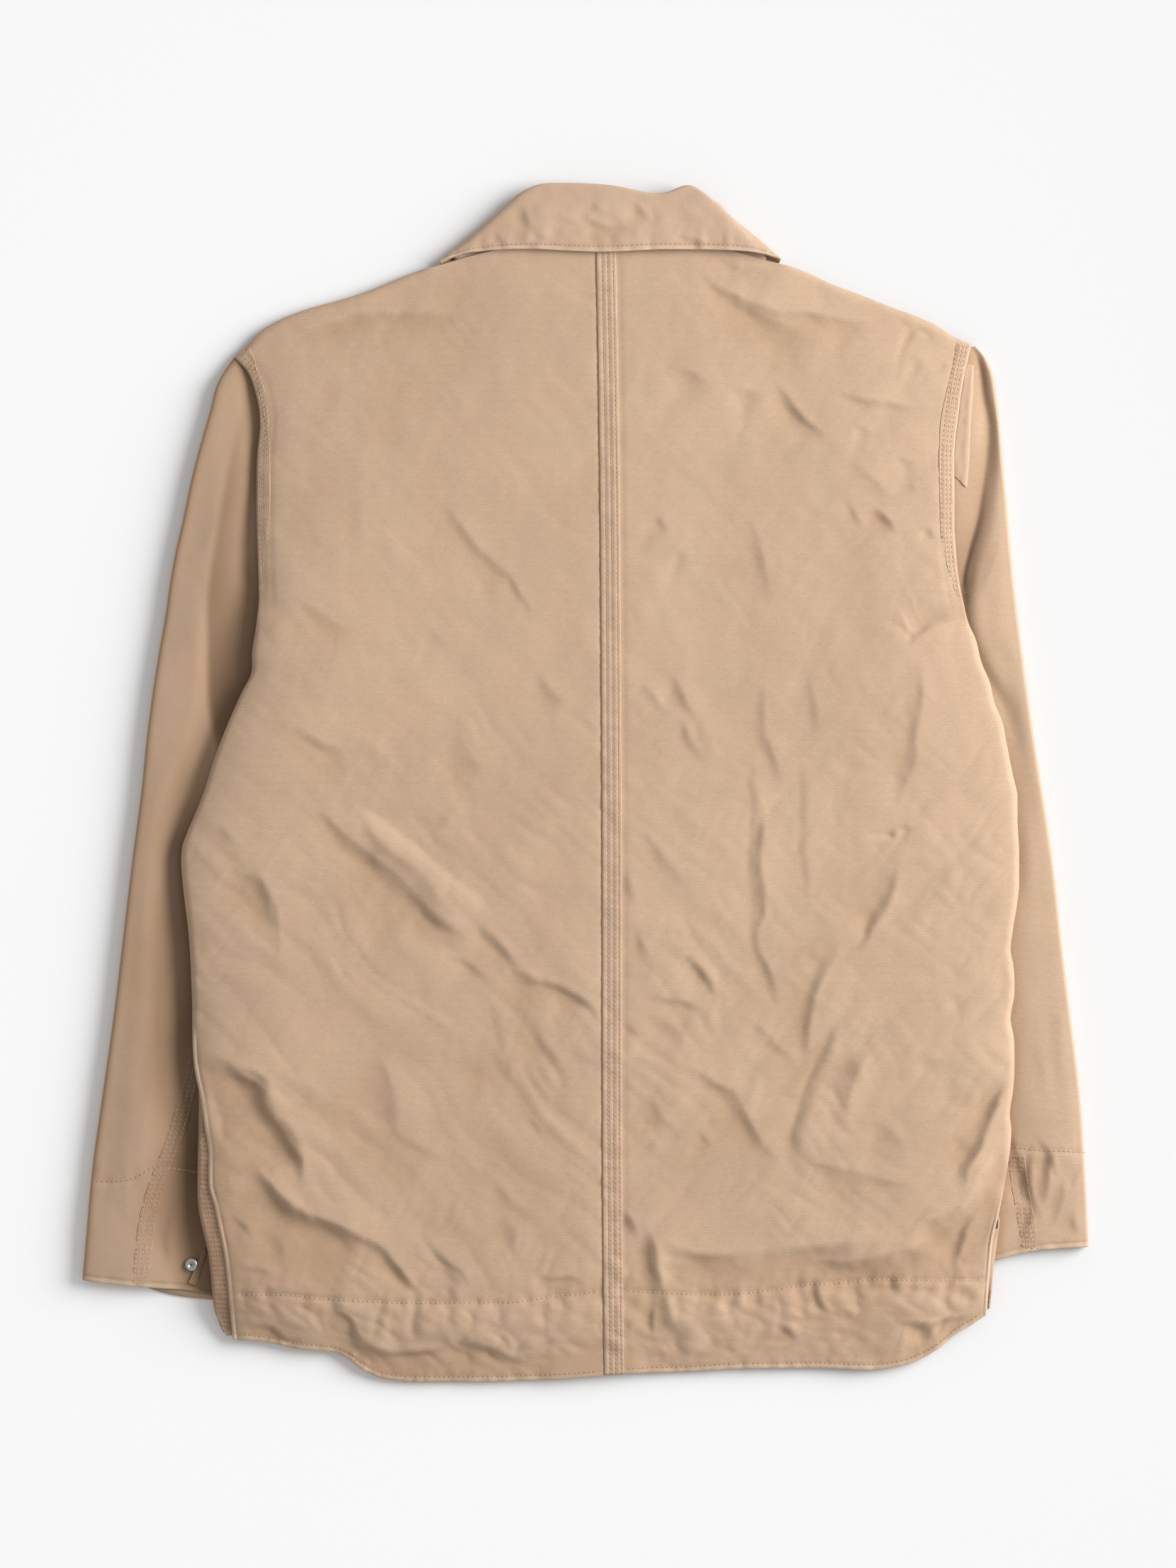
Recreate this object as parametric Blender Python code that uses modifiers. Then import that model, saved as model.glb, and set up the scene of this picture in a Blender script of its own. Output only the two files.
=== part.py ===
"""Chore jacket of tan cotton duck, lying face down on a flat surface with its back up.

All sizes below are in millimetres; the meshes are made in metres. X runs to the wearer's right,
Y towards the collar and Z up from the surface. The origin is under the middle of the garment.
Each piece of cloth is an open grid, one row of points after another, given its thickness by
Solidify. The pieces lie in this order from the surface up: buttons and pockets, under sleeves,
upper sleeves, fronts, side seams, back, felled seams, with the collar round the neck.
"""

import math
from collections import namedtuple

import bpy
import numpy as np
from mathutils import Vector
from mathutils.bvhtree import BVHTree

MM = 0.001

# Driving dimensions
CLOTH = 1.3            # wall of the duck
SEAM_CLOTH = 0.9       # what a felled seam stands proud of its panel
COLLAR_CLOTH = 2.0     # two layers, sewn together
GAP = 0.3              # between pieces that touch
SLACK = 0.2            # more room where two pieces have different grids
LAYER = CLOTH + GAP    # from the middle of one cloth to the middle of the next
TURN_GAP = 0.35        # from where two turned edges meet to the end of each
SIDE_SEAM_GAP = 0.9    # the same for the side seams, which turn less steeply
FLOOR_LAYER = CLOTH / 2
CENTRE_SEAM_WIDTH = 13.0
ARMHOLE_SEAM_WIDTH = 8.0
SLEEVE_SEAM_WIDTH = 11.0
FOLD_REACH = 4.5       # how far in from a folded edge the cloth starts to turn
SHOULDER_REACH = 3.0
BUTTON_RADIUS = 8.5
BUTTON_HEIGHT = 2.5
BUTTON_ROWS = (284, 164, 44, -76, -196)
TACK_RADIUS = 4.2
TACK_HEIGHT = 2.0
TACK_PLACE = (-256.0, -313.0)
CENTRE_FRONT = 8.0
LAP = 14.0             # how far each front laps over the centre

# Heights of the middle of the cloth
BACK_LEVEL = 8.6
BACK_RISE = 5.4        # at the sides, where the body lies on the sleeves
FRONT_LEVEL = FLOOR_LAYER + LAYER
FRONT_STEP = 4.0       # over the sleeve's inner edge and the pocket
FRONT_RISE = 1.8       # from there to the side
PLACKET_LEVEL = BUTTON_HEIGHT + GAP + CLOTH / 2
SLEEVE_STEP = 28.0     # the front climbs onto the sleeve over this width
STEP_START = 10.0      # and has done so this far before the sleeve's inner edge
UNDERARM = 118.0       # Y of the lower end of the armholes

TAN = (0.56, 0.39, 0.25)
TAN_DARK = (0.50, 0.34, 0.22)
METAL = (0.42, 0.43, 0.42)

LEFT, RIGHT = -1, 1

# Sides of the back panels: the armhole above the underarm, the fold or side seam below
BACK_EDGE = {
    LEFT: (
        # y, x
        (-361.5, -228.0), (-330, -230), (-305, -234), (-275, -240), (-240, -244), (-205, -249),
        (-185, -253), (-140, -255), (-100, -257), (-52, -262), (-32, -258), (0, -246), (40, -231),
        (60, -222), (85, -216), (120, -212), (160, -212.5), (200, -213), (232, -211), (250, -213),
        (262, -217), (276.5, -228),
    ),
    RIGHT: (
        (-344, 260.5), (-330, 261), (-315, 262), (-290, 266), (-265, 271), (-225, 276),
        (-185, 278), (-140, 278), (-108, 275.5), (-65, 281), (-25, 280), (5, 277), (40, 270),
        (77, 257), (101, 249), (125, 243), (150, 240), (180, 239), (225, 240), (255, 244),
        (270, 247), (285, 250.5),
    ),
}
# Outline of the body where the side seam lies on top, so the front wraps round past it
SIDE_OUTLINE = {
    LEFT: (
        (-361.5, -233.0), (-345, -240), (-318, -243), (-302, -245), (-275, -251), (-230, -251.3),
        (-205, -250.8), (-180, -251.5), (-160, -253),
    ),
    RIGHT: ((-344, 262.0), (-330, 263.5), (-310, 265.5), (-290, 267.5), (-270, 270)),
}
SIDE_SEAM_TOP = {LEFT: -172.0, RIGHT: -283.0}
HEM = (
    # x, y
    (-233, -361.5), (-200, -364.5), (-162, -370), (-145, -380), (-122, -388), (-100, -389.2),
    (-20, -387.5), (25, -384), (100, -380.5), (200, -380), (220, -373), (240, -358), (262, -344),
)
# Top of the body: the shoulders, and between them the neck of the back
BACK_TOP = (
    # x, y
    (-228, 276.5), (-210, 294), (-200, 300), (-160, 313.5), (-120, 327.5), (-102, 333.5),
    (-92, 336), (-60, 346), (0, 353), (50, 353), (95, 346), (116, 339), (130, 335.5),
    (160, 323.5), (200, 308.5), (230, 296.5), (250.5, 285),
)
NECK_LEFT, NECK_RIGHT = -97.0, 124.0
FRONT_NECK = ((-97, 333), (-60, 316), (-20, 306), (22, 303), (60, 308), (100, 326), (124, 336))

# Sleeves: across each row the crest of the outer fold, the trough beside the body, the shelf under
# the body's edge and the hidden inner edge. Heights are those of the upper panel's middle.
SleeveRow = namedtuple("SleeveRow", "y outer crest trough_x trough shelf_x shelf inner_x inner")
SLEEVE = {
    LEFT: (
        SleeveRow(-322, -327, 6.0, -256, 3.4, -240, 4.0, -185, 2.3),
        SleeveRow(-250, -320.5, 7.5, -258, 3.0, -244, 4.2, -172, 2.3),
        SleeveRow(-200, -313.5, 8.0, -260, 3.0, -246, 4.4, -162, 2.3),
        SleeveRow(-150, -306.5, 8.0, -265, 3.0, -250, 4.4, -150, 2.3),
        SleeveRow(-100, -300.5, 8.0, -267, 3.0, -252, 4.4, -138, 2.3),
        SleeveRow(-50, -294.5, 8.0, -268, 3.0, -256, 4.4, -126, 2.3),
        SleeveRow(0, -288, 8.0, -257, 3.1, -240, 4.4, -115, 2.3),
        SleeveRow(50, -282.5, 8.0, -237, 3.2, -222, 4.4, -115, 2.3),
        SleeveRow(80, -278, 8.0, -230, 3.2, -211, 4.4, -124, 2.3),
        SleeveRow(110, -272.8, 8.0, -226, 3.2, -208.5, 4.6, -165, 3.2),
        SleeveRow(130, -270, 8.0, -225, 3.2, -208.5, 5.0, -204.5, 5.4),
        SleeveRow(165, -263, 7.6, -225, 3.4, -209, 6.6, -205.5, 7.8),
        SleeveRow(200, -255.5, 7.2, -225, 3.6, -209, 6.8, -205.5, 7.8),
        SleeveRow(240, -244.5, 6.8, -224, 3.8, -208, 6.8, -204.5, 7.6),
        SleeveRow(268, -234, 6.0, -228, 4.4, -218, 6.2, -213, 6.8),
    ),
    RIGHT: (
        SleeveRow(-301, 327, 6.0, 282, 3.4, 268, 4.0, 190, 2.3),
        SleeveRow(-250, 324.5, 7.5, 284, 3.0, 272, 4.2, 176, 2.3),
        SleeveRow(-200, 321, 8.0, 286, 3.0, 274, 4.4, 166, 2.3),
        SleeveRow(-150, 315, 8.0, 286, 3.0, 273, 4.4, 154, 2.3),
        SleeveRow(-100, 309, 8.0, 286, 3.0, 273, 4.4, 142, 2.3),
        SleeveRow(-50, 303.5, 8.0, 286, 3.0, 277, 4.4, 130, 2.3),
        SleeveRow(0, 296, 7.5, 283, 3.1, 274, 4.4, 122, 2.3),
        SleeveRow(50, 288.5, 7.5, 272, 3.2, 262, 4.4, 122, 2.3),
        SleeveRow(80, 284.5, 7.5, 265, 3.2, 252, 4.4, 132, 2.3),
        SleeveRow(110, 280.7, 7.5, 257, 3.2, 243, 4.6, 172, 3.2),
        SleeveRow(130, 278.3, 7.5, 255, 3.2, 242, 5.2, 235, 5.4),
        SleeveRow(165, 275, 7.5, 259, 3.2, 248, 7.2, 232, 7.8),
        SleeveRow(200, 272, 7.2, 262, 3.2, 251, 7.4, 232, 7.8),
        SleeveRow(240, 267.7, 7.0, 262.5, 3.4, 253, 7.4, 235.5, 7.8),
        SleeveRow(276, 259.5, 6.0, 256.5, 4.2, 253, 6.6, 242.5, 6.8),
    ),
}
# Cuff edges of the upper and the under panel, across the sleeve from 0 outside to 1 inside
CUFF = {
    (LEFT, "upper"): ((0, -322.5), (0.25, -325.5), (0.45, -329), (0.6, -334), (1, -335)),
    (LEFT, "under"): ((0, -322.5), (0.25, -327), (0.35, -331.5), (0.6, -336.5), (1, -337)),
    (RIGHT, "upper"): ((0, -301), (0.2, -302), (0.35, -305), (0.5, -309.5), (1, -310)),
    (RIGHT, "under"): ((0, -301), (0.2, -302), (0.35, -305.5), (0.5, -310.5), (1, -311)),
}
SLEEVE_ROLL = 4.0      # reach of the outer fold
ROLL_MEETING = 2.5     # height at which the upper and the under panel meet there
CREST_IN = 11.0        # from the outline to the crest
EDGE_DROP = 1.2        # from the crest down to where the outer fold starts
# Felled seams of the sleeves: middle line, y then x
SLEEVE_SEAM = {
    LEFT: ((-319, -288.5), (-295, -286), (-275, -282.5), (-255, -276), (-235, -268), (-192, -257)),
    RIGHT: ((-299, 288.5), (-280, 285.5), (-262, 282.5), (-242, 280)),
}

# The largest folds of the back, pressed down (negative) or raised, with their half width
Fold = namedtuple("Fold", "name depth width path")
BACK_FOLDS = (
    Fold("left_shoulder", -1.5, 9, ((-196, 297), (-120, 298), (-28, 288))),
    Fold("left_blade", -1.2, 10, ((-95, 185), (-68, 150), (-35, 102))),
    Fold("left_ribs", -1.3, 9, ((-190, 120), (-160, 101), (-112, 85))),
    Fold("left_waist", -1.2, 9, ((-192, 42), (-165, 24), (-125, 15))),
    Fold("left_diagonal", -2.2, 11, ((-182, -10), (-140, -48), (-78, -100))),
    Fold("left_diagonal_ridge", 1.8, 12, ((-150, -8), (-95, -55), (-30, -108))),
    Fold("left_diagonal_end", -1.8, 8, ((-62, -100), (-20, -130), (9, -153))),
    Fold("left_side", -1.4, 8, ((-232, -50), (-206, -68), (-200, -118))),
    Fold("left_side_bulge", 2.4, 14, ((-246, -165), (-236, -200), (-228, -235))),
    Fold("left_side_crease", -2.0, 8, ((-240, -172), (-205, -215), (-184, -262))),
    Fold("left_hem_crease", -2.2, 8, ((-216, -244), (-172, -286), (-112, -327))),
    Fold("left_hem_ridge", 1.6, 10, ((-222, -272), (-180, -305), (-150, -322))),
    Fold("left_hem_turn", -1.6, 7, ((-166, -338), (-145, -364), (-88, -366))),
    Fold("left_hem_slant", -1.5, 7, ((-88, -352), (-40, -378))),
    Fold("left_centre_ridge", 1.0, 10, ((-62, -135), (-52, -180), (-48, -225))),
    Fold("right_shoulder", -1.4, 9, ((85, 318), (130, 304), (190, 295))),
    Fold("right_blade", -1.7, 8, ((120, 264), (140, 238), (160, 221))),
    Fold("right_armhole_upper", -1.3, 7, ((155, 256), (190, 246), (220, 243))),
    Fold("right_armhole_lower", -1.4, 7, ((186, 184), (202, 163), (226, 158))),
    Fold("right_underarm", -1.8, 7, ((209, 84), (218, 99), (243, 106))),
    Fold("right_waist", -1.2, 9, ((46, 74), (62, 52), (76, 16))),
    Fold("right_long_upper", -1.0, 9, ((114, 72), (114, 30), (116, -10))),
    Fold("right_long_lower", -1.1, 9, ((116, -10), (112, -80), (124, -138))),
    Fold("right_vee_upper", -1.6, 9, ((216, 60), (204, -20), (176, -115))),
    Fold("right_vee_lower", -1.5, 9, ((166, -98), (145, -145), (142, -190))),
    Fold("right_vee_ridge", 1.6, 11, ((168, -150), (140, -205), (134, -245))),
    Fold("right_seat", -1.5, 8, ((60, -180), (97, -204), (130, -246))),
    Fold("right_seat_side", -1.2, 8, ((136, -243), (180, -255), (214, -266))),
    Fold("right_side_crease", -2.3, 8, ((272, -186), (256, -232), (242, -268))),
    Fold("right_hem_sweep", -1.7, 9, ((242, -268), (190, -296), (100, -307))),
    Fold("right_hem_start", -1.6, 8, ((24, -274), (44, -300), (100, -307))),
    Fold("right_hem_side", -1.8, 7, ((258, -272), (243, -298), (238, -324))),
    Fold("right_hem_ridge", 1.5, 10, ((60, -322), (130, -318), (215, -305))),
    Fold("right_hem_end", -1.4, 7, ((198, -340), (215, -352), (256, -346))),
)

# Collar: one row for each station round the neck, from the wearer's left front end to the right.
# The seam is the stand's lower edge, the rim is the fold and the edge is the fall's free edge.
CollarRow = namedtuple("CollarRow", "rim edge seam")
COLLAR = (
    CollarRow((-4, 328, 2.38), (-34, 266, 1.03), (-4, 310, 3.6)),
    CollarRow((-28, 338, 2.38), (-66, 284, 1.03), (-42, 318, 3.6)),
    CollarRow((-45, 362, 2.4), (-94, 322, 1.03), (-80, 334, 3.7)),
    CollarRow((-50, 371, 3.4), (-97.5, 336.5, 2.0), (-88, 337.5, 4.4)),
    CollarRow((-51, 374, 5.9), (-98.5, 337.5, 5.9), (-90, 338.5, 6.0)),
    CollarRow((-47, 376, 8.6), (-96, 338.5, 9.8), (-87, 340.5, 8.0)),
    CollarRow((-36, 383.5, 9.6), (-76, 344, 10.9), (-66, 348.5, 8.5)),
    CollarRow((-20, 386.5, 9.9), (-40, 346.2, 11.0), (-35, 353, 8.6)),
    CollarRow((15, 385.5, 9.9), (10, 344.3, 11.0), (12, 356, 8.6)),
    CollarRow((47, 379.5, 9.9), (52, 345.8, 11.0), (52, 355.5, 8.6)),
    CollarRow((67, 385, 9.9), (84, 345.6, 11.0), (86, 351.5, 8.6)),
    CollarRow((83, 376, 9.2), (108, 344.2, 10.9), (104, 346.5, 8.4)),
    CollarRow((88, 370, 8.0), (123.5, 341.5, 9.6), (116, 342.5, 7.8)),
    CollarRow((89, 367, 5.9), (126.5, 339.5, 5.9), (119, 340.5, 6.0)),
    CollarRow((86, 363, 3.4), (126, 337.5, 2.0), (116, 338.5, 4.4)),
    CollarRow((80, 356, 2.4), (122, 324, 1.03), (108, 335, 3.7)),
    CollarRow((58, 338, 2.38), (98, 286, 1.03), (72, 319, 3.6)),
    CollarRow((30, 328, 2.38), (60, 266, 1.03), (26, 308, 3.6)),
)
COLLAR_FOLD = 1.35     # radius of the fold between stand and fall

# Grid lines
BACK_ROWS = 38
BACK_COLUMNS = (0, 0.034, 0.09, 0.15, 0.21, 0.275, 0.34, 0.405, 0.47, 0.535, 0.6, 0.665, 0.73,
                0.795, 0.86, 0.93, 1)
FRONT_ROWS = 24
FRONT_COLUMNS = (0, 0.08, 0.2, 0.32, 0.44, 0.56, 0.68, 0.78, 0.87, 1)
POCKET_ROWS = (3, 10)
POCKET_COLUMNS = (2, 7)
TURNS = (30, 60, 90)   # degrees round a folded edge
SLEEVE_ROWS = 30
UNDER_ROWS = 22
UNDER_COLUMNS = (0, 0.3, 0.65, 1)
# Columns of the upper sleeve: each lies some way between two points of the section, and its share
# of the sleeve's width sets where it meets the cuff's edge
UpperColumn = namedtuple("UpperColumn", "share start end way")
UPPER_COLUMNS = (
    UpperColumn(0, "edge", "crest", 0),
    UpperColumn(0.07, "edge", "crest", 1),
    UpperColumn(0.22, "crest", "trough", 0.48),
    UpperColumn(0.42, "crest", "trough", 1),
    UpperColumn(0.5, "trough", "shelf", 0.5),
    UpperColumn(0.58, "trough", "shelf", 1),
    UpperColumn(0.8, "shelf", "inner", 0.5),
    UpperColumn(1, "shelf", "inner", 1),
)

made = bpy.data.collections.new("chore_jacket")


def clear_scene():
    for item in list(bpy.data.objects):
        bpy.data.objects.remove(item, do_unlink=True)


def spline(rows, key=0, value=1):
    """Smooth curve through a table's rows, flat where the values turn back."""
    keys = np.array([row[key] for row in rows], float)
    values = np.array([row[value] for row in rows], float)
    if keys[0] > keys[-1]:
        keys, values = keys[::-1], values[::-1]
    span = np.diff(keys)
    rise = np.diff(values) / span
    inner = (rise[1:] * span[:-1] + rise[:-1] * span[1:]) / (span[1:] + span[:-1])
    inner[rise[1:] * rise[:-1] <= 0] = 0
    slope = np.concatenate(([rise[0]], inner, [rise[-1]]))

    def at(place):
        place = np.clip(place, keys[0], keys[-1])
        i = np.clip(np.searchsorted(keys, place, side="right") - 1, 0, len(span) - 1)
        h = span[i]
        s = (place - keys[i]) / h
        start = (2 * s + 1) * (1 - s) ** 2 * values[i] + s * (1 - s) ** 2 * h * slope[i]
        end = s * s * (3 - 2 * s) * values[i + 1] + s * s * (s - 1) * h * slope[i + 1]
        return start + end

    return at


def smooth(value):
    """0 below 0, 1 above 1 and a soft step between."""
    value = np.clip(value, 0, 1)
    return value * value * (3 - 2 * value)


def relief(x, y, folds):
    """Height that the folds add: each fades out from its path and towards its two ends."""
    total = np.zeros_like(x)
    for fold in folds:
        path = np.array(fold.path, float)
        legs = np.hypot(*np.diff(path, axis=0).T)
        along = np.concatenate(([0], np.cumsum(legs))) / legs.sum()
        nearest = np.full_like(x, 1e9)
        place = np.zeros_like(x)
        for i in range(len(legs)):
            leg = path[i + 1] - path[i]
            t = np.clip(((x - path[i, 0]) * leg[0] + (y - path[i, 1]) * leg[1]) / (leg @ leg), 0, 1)
            away = np.hypot(x - path[i, 0] - t * leg[0], y - path[i, 1] - t * leg[1])
            closer = away < nearest
            nearest = np.where(closer, away, nearest)
            place = np.where(closer, along[i] + t * (along[i + 1] - along[i]), place)
        taper = smooth(np.minimum(place, 1 - place) * 4)
        total += fold.depth * np.exp(-(nearest / fold.width) ** 2) * taper
    return total


EDGE = {side: spline(BACK_EDGE[side]) for side in (LEFT, RIGHT)}
OUTLINE = {side: spline(SIDE_OUTLINE[side]) for side in (LEFT, RIGHT)}
HEM_LINE = spline(HEM)
TOP_LINE = spline(BACK_TOP)
NECK_LINE = spline(FRONT_NECK)
INNER = {side: spline(SLEEVE[side], 0, 7) for side in (LEFT, RIGHT)}
# How much of the sleeve's height the body takes up: none at the shoulders, little at the hem
LIFT = spline(((-385, 0.15), (-362, 0.35), (-335, 0.85), (-300, 1), (95, 1), (150, 0.75),
               (200, 0.45), (250, 0.25), (285, 0.05)))
CENTRE_SEAM = spline(((-385, 12), (-290, 11), (0, 10.3), (250, 8.3), (353, 6.5)))


def inside(side, x, y):
    """Distance from the body's edge on that side, inwards."""
    return (EDGE[side](y) - x) * side


def back_height(x, y):
    left, right = (np.clip(1 - inside(side, x, y) / 165, 0, 1) for side in (LEFT, RIGHT))
    rise = BACK_RISE * LIFT(y) * (left ** 1.6 + right ** 1.6)
    hem_drop = 2.2 * smooth(1 - (y - HEM_LINE(x)) / 45)
    shoulder_drop = 1.0 * smooth(1 - (TOP_LINE(x) - y) / 35)
    level = BACK_LEVEL + rise - hem_drop - shoulder_drop + relief(x, y, BACK_FOLDS)
    return np.maximum(level, front_height(x, y, RIGHT) + LAYER + SLACK)


def front_height(x, y, side):
    """The front climbs onto the sleeve, and over the buttons and the other front at the centre."""
    height = FRONT_LEVEL + 0 * x
    for arm in (LEFT, RIGHT):
        over = (x - INNER[arm](np.minimum(y, 60))) * arm + STEP_START
        height = height + FRONT_STEP * LIFT(y) * smooth(1 + over / SLEEVE_STEP)
        height = height + FRONT_RISE * LIFT(y) * smooth(1 - inside(arm, x, y) / 90)
    away = np.abs(x - CENTRE_FRONT)
    placket = smooth((46 - away) / 24)
    collar = smooth((126 - np.abs(x - 14)) / 12) * smooth((y - 235) / 22)
    height = height + placket * (PLACKET_LEVEL - FRONT_LEVEL)
    height = np.maximum(height, FRONT_LEVEL + 1.05 * collar)
    if side == RIGHT:
        lap = smooth((CENTRE_FRONT + LAP + 24 - x) / 16) * smooth((x - CENTRE_FRONT + LAP + 30) / 16)
        height = height + lap * (LAYER + SLACK)
    return height


def patch(edge, seam, hem, top, columns, rows):
    """Grid between four boundary curves, each a function from 0 to 1: the sides run up, and the hem
    and the top run from the edge to the seam."""
    u = np.array(columns)[None, :, None]
    v = np.linspace(0, 1, rows)[:, None, None]
    side = np.array([edge(t) for t in v.ravel()])[:, None, :]
    middle = np.array([seam(t) for t in v.ravel()])[:, None, :]
    low = np.array([hem(t) for t in u.ravel()])[None, :, :]
    high = np.array([top(t) for t in u.ravel()])[None, :, :]
    corners = (1 - u) * (1 - v) * side[:1] + u * (1 - v) * middle[:1]
    corners = corners + (1 - u) * v * side[-1:] + u * v * middle[-1:]
    return (1 - u) * side + u * middle + (1 - v) * low + v * high - corners


def between(low, high, t):
    return low + (high - low) * t


def body_plan(side, edge_at, seam_at, top_at, hem_in, columns, rows):
    """Plan of a body panel, from its edge to its centre line, set in at folded edges."""
    corner_y = float(HEM_LINE(edge_at(-360 if side == LEFT else -344))) + hem_in
    tip_y = BACK_TOP[0][1] - 1.5 if side == LEFT else BACK_TOP[-1][1] - 1.5
    low_y = float(HEM_LINE(seam_at(-380))) + hem_in
    high_y = float(top_at(seam_at(340)))

    def edge(t):
        y = between(corner_y, tip_y, t)
        return float(edge_at(y)) - side * FOLD_REACH, y

    def seam(t):
        y = between(low_y, high_y, t)
        return float(seam_at(y)), y

    def hem(t):
        x = between(edge(0)[0], seam(0)[0], t)
        return x, float(HEM_LINE(x)) + hem_in

    def top(t):
        x = between(edge(1)[0], seam(1)[0], t)
        return x, float(top_at(x)) - SHOULDER_REACH

    return patch(edge, seam, hem, top, columns, rows)


def turned(line, across, reach, drop, folded):
    """Rows that carry an edge line on: over a quarter turn where it is folded, flat where not."""
    rows = []
    for degrees in TURNS:
        angle = math.radians(degrees)
        out = reach * (folded * math.sin(angle) + (1 - folded) * degrees / TURNS[-1])
        row = line + np.outer(out, across)
        row[:, 2] -= folded * drop * (1 - math.cos(angle))
        rows.append(row)
    return rows


def fold_over(grid, side, folded, drop, gap):
    """Adds the turned columns at a panel's side and the turned rows at its top."""
    columns = turned(grid[:, 0], (side, 0, 0), FOLD_REACH, drop, folded)
    grid = np.concatenate([np.stack(columns[::-1], axis=1), grid], axis=1)
    line = grid[-1]
    top_drop = line[:, 2] - meeting(line[:, 0], line[:, 1]) - gap
    rows = turned(line, (0, 1, 0), SHOULDER_REACH, top_drop, shoulder(line[:, 0]))
    return np.concatenate([grid, np.stack(rows)], axis=0)


def shoulder(x):
    """1 on the shoulders, where the top edge is a fold, and 0 along the neck."""
    return smooth((NECK_LEFT - 3 - x) / 12) + smooth((x - NECK_RIGHT - 3) / 12)


def meeting(x, y, share=0.42):
    """Height at which the back's and the front's folded edges meet."""
    low, high = front_height(x, y, RIGHT), back_height(x, y)
    return low + share * (high - low)


def side_meeting(side, y):
    """The same at the sides: lower where a side seam turns down over the front's edge."""
    share = 0.42 - 0.25 * smooth((SIDE_SEAM_TOP[side] - y) / 20)
    return meeting(EDGE[side](y) - side * FOLD_REACH, y, share)


def normals(grid):
    """Unit normals of a grid, upwards."""
    along = np.gradient(grid, axis=1)
    up = np.gradient(grid, axis=0)
    normal = np.cross(along, up)
    normal /= np.linalg.norm(normal, axis=2, keepdims=True)
    middle = normal[grid.shape[0] // 2, grid.shape[1] // 2]
    return normal if middle[2] > 0 else -normal


def moved_out(grid, distance):
    return grid + normals(grid) * distance


def material(name, colour, roughness, metallic=0.0):
    made_of = bpy.data.materials.new(name)
    made_of.use_nodes = True
    shader = made_of.node_tree.nodes["Principled BSDF"]
    shader.inputs["Base Color"].default_value = (*colour, 1)
    shader.inputs["Roughness"].default_value = roughness
    shader.inputs["Metallic"].default_value = metallic
    return made_of


def add_object(name, mesh, made_of):
    item = bpy.data.objects.new(name, mesh)
    made.objects.link(item)
    mesh.materials.append(made_of)
    mesh.shade_smooth()
    return item


def cloth(name, grid, made_of, thickness=CLOTH):
    """One piece of cloth: the grid is the middle of its wall."""
    rows, columns = grid.shape[:2]
    faces = [
        (r * columns + c, r * columns + c + 1, (r + 1) * columns + c + 1, (r + 1) * columns + c)
        for r in range(rows - 1)
        for c in range(columns - 1)
    ]
    mesh = bpy.data.meshes.new(name)
    mesh.from_pydata((grid.reshape(-1, 3) * MM).tolist(), [], faces)
    item = add_object(name, mesh, made_of)
    wall = item.modifiers.new("wall", "SOLIDIFY")
    wall.thickness = thickness * MM
    wall.offset = 0
    return item


def with_height(plan, height):
    return np.concatenate([plan, height[:, :, None]], axis=2)


def make_back(side, made_of):
    plan = body_plan(side, EDGE[side], lambda y: CENTRE_SEAM(y) + side * GAP / 2, TOP_LINE, 0,
                     BACK_COLUMNS, BACK_ROWS)
    x, y = plan[:, :, 0], plan[:, :, 1]
    grid = with_height(plan, back_height(x, y))
    edge_y = grid[:, 0, 1]
    folded = smooth((UNDERARM - 8 - edge_y) / 22)
    folded = folded * smooth((edge_y - SIDE_SEAM_TOP[side]) / 30)
    drop = grid[:, 0, 2] - side_meeting(side, edge_y) - TURN_GAP
    grid = fold_over(grid, side, folded, drop, TURN_GAP)
    cloth("back_left" if side == LEFT else "back_right", grid, made_of)
    return grid


def make_front(side, made_of):
    def edge_at(y):
        line = EDGE[side](y)
        if y < SIDE_SEAM_TOP[side]:
            line = OUTLINE[side](y)
        tucked = (ARMHOLE_SEAM_WIDTH + 1.6 + FOLD_REACH) * smooth((y - UNDERARM + 26) / 14)
        return line - side * tucked

    def top_at(x):
        neck = (x > NECK_LEFT) * (x < NECK_RIGHT)
        return np.where(neck, NECK_LINE(x), TOP_LINE(x))

    plan = body_plan(side, edge_at, lambda y: CENTRE_FRONT - side * LAP + 0 * y, top_at, 2.5,
                     FRONT_COLUMNS, FRONT_ROWS)
    x, y = plan[:, :, 0], plan[:, :, 1]
    grid = with_height(plan, front_height(x, y, side))
    pocket_rows, pocket_columns = slice(*POCKET_ROWS), slice(*POCKET_COLUMNS)
    pocket = moved_out(grid, -LAYER)[pocket_rows, pocket_columns]
    edge_y = grid[:, 0, 1]
    folded = smooth((UNDERARM - 28 - edge_y) / 14)
    drop = grid[:, 0, 2] - side_meeting(side, edge_y) + TURN_GAP
    grid = fold_over(grid, side, folded, drop, -TURN_GAP)
    word = "left" if side == LEFT else "right"
    cloth("front_" + word, grid, made_of)
    cloth("pocket_" + word, pocket, made_of)
    return grid


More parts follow.
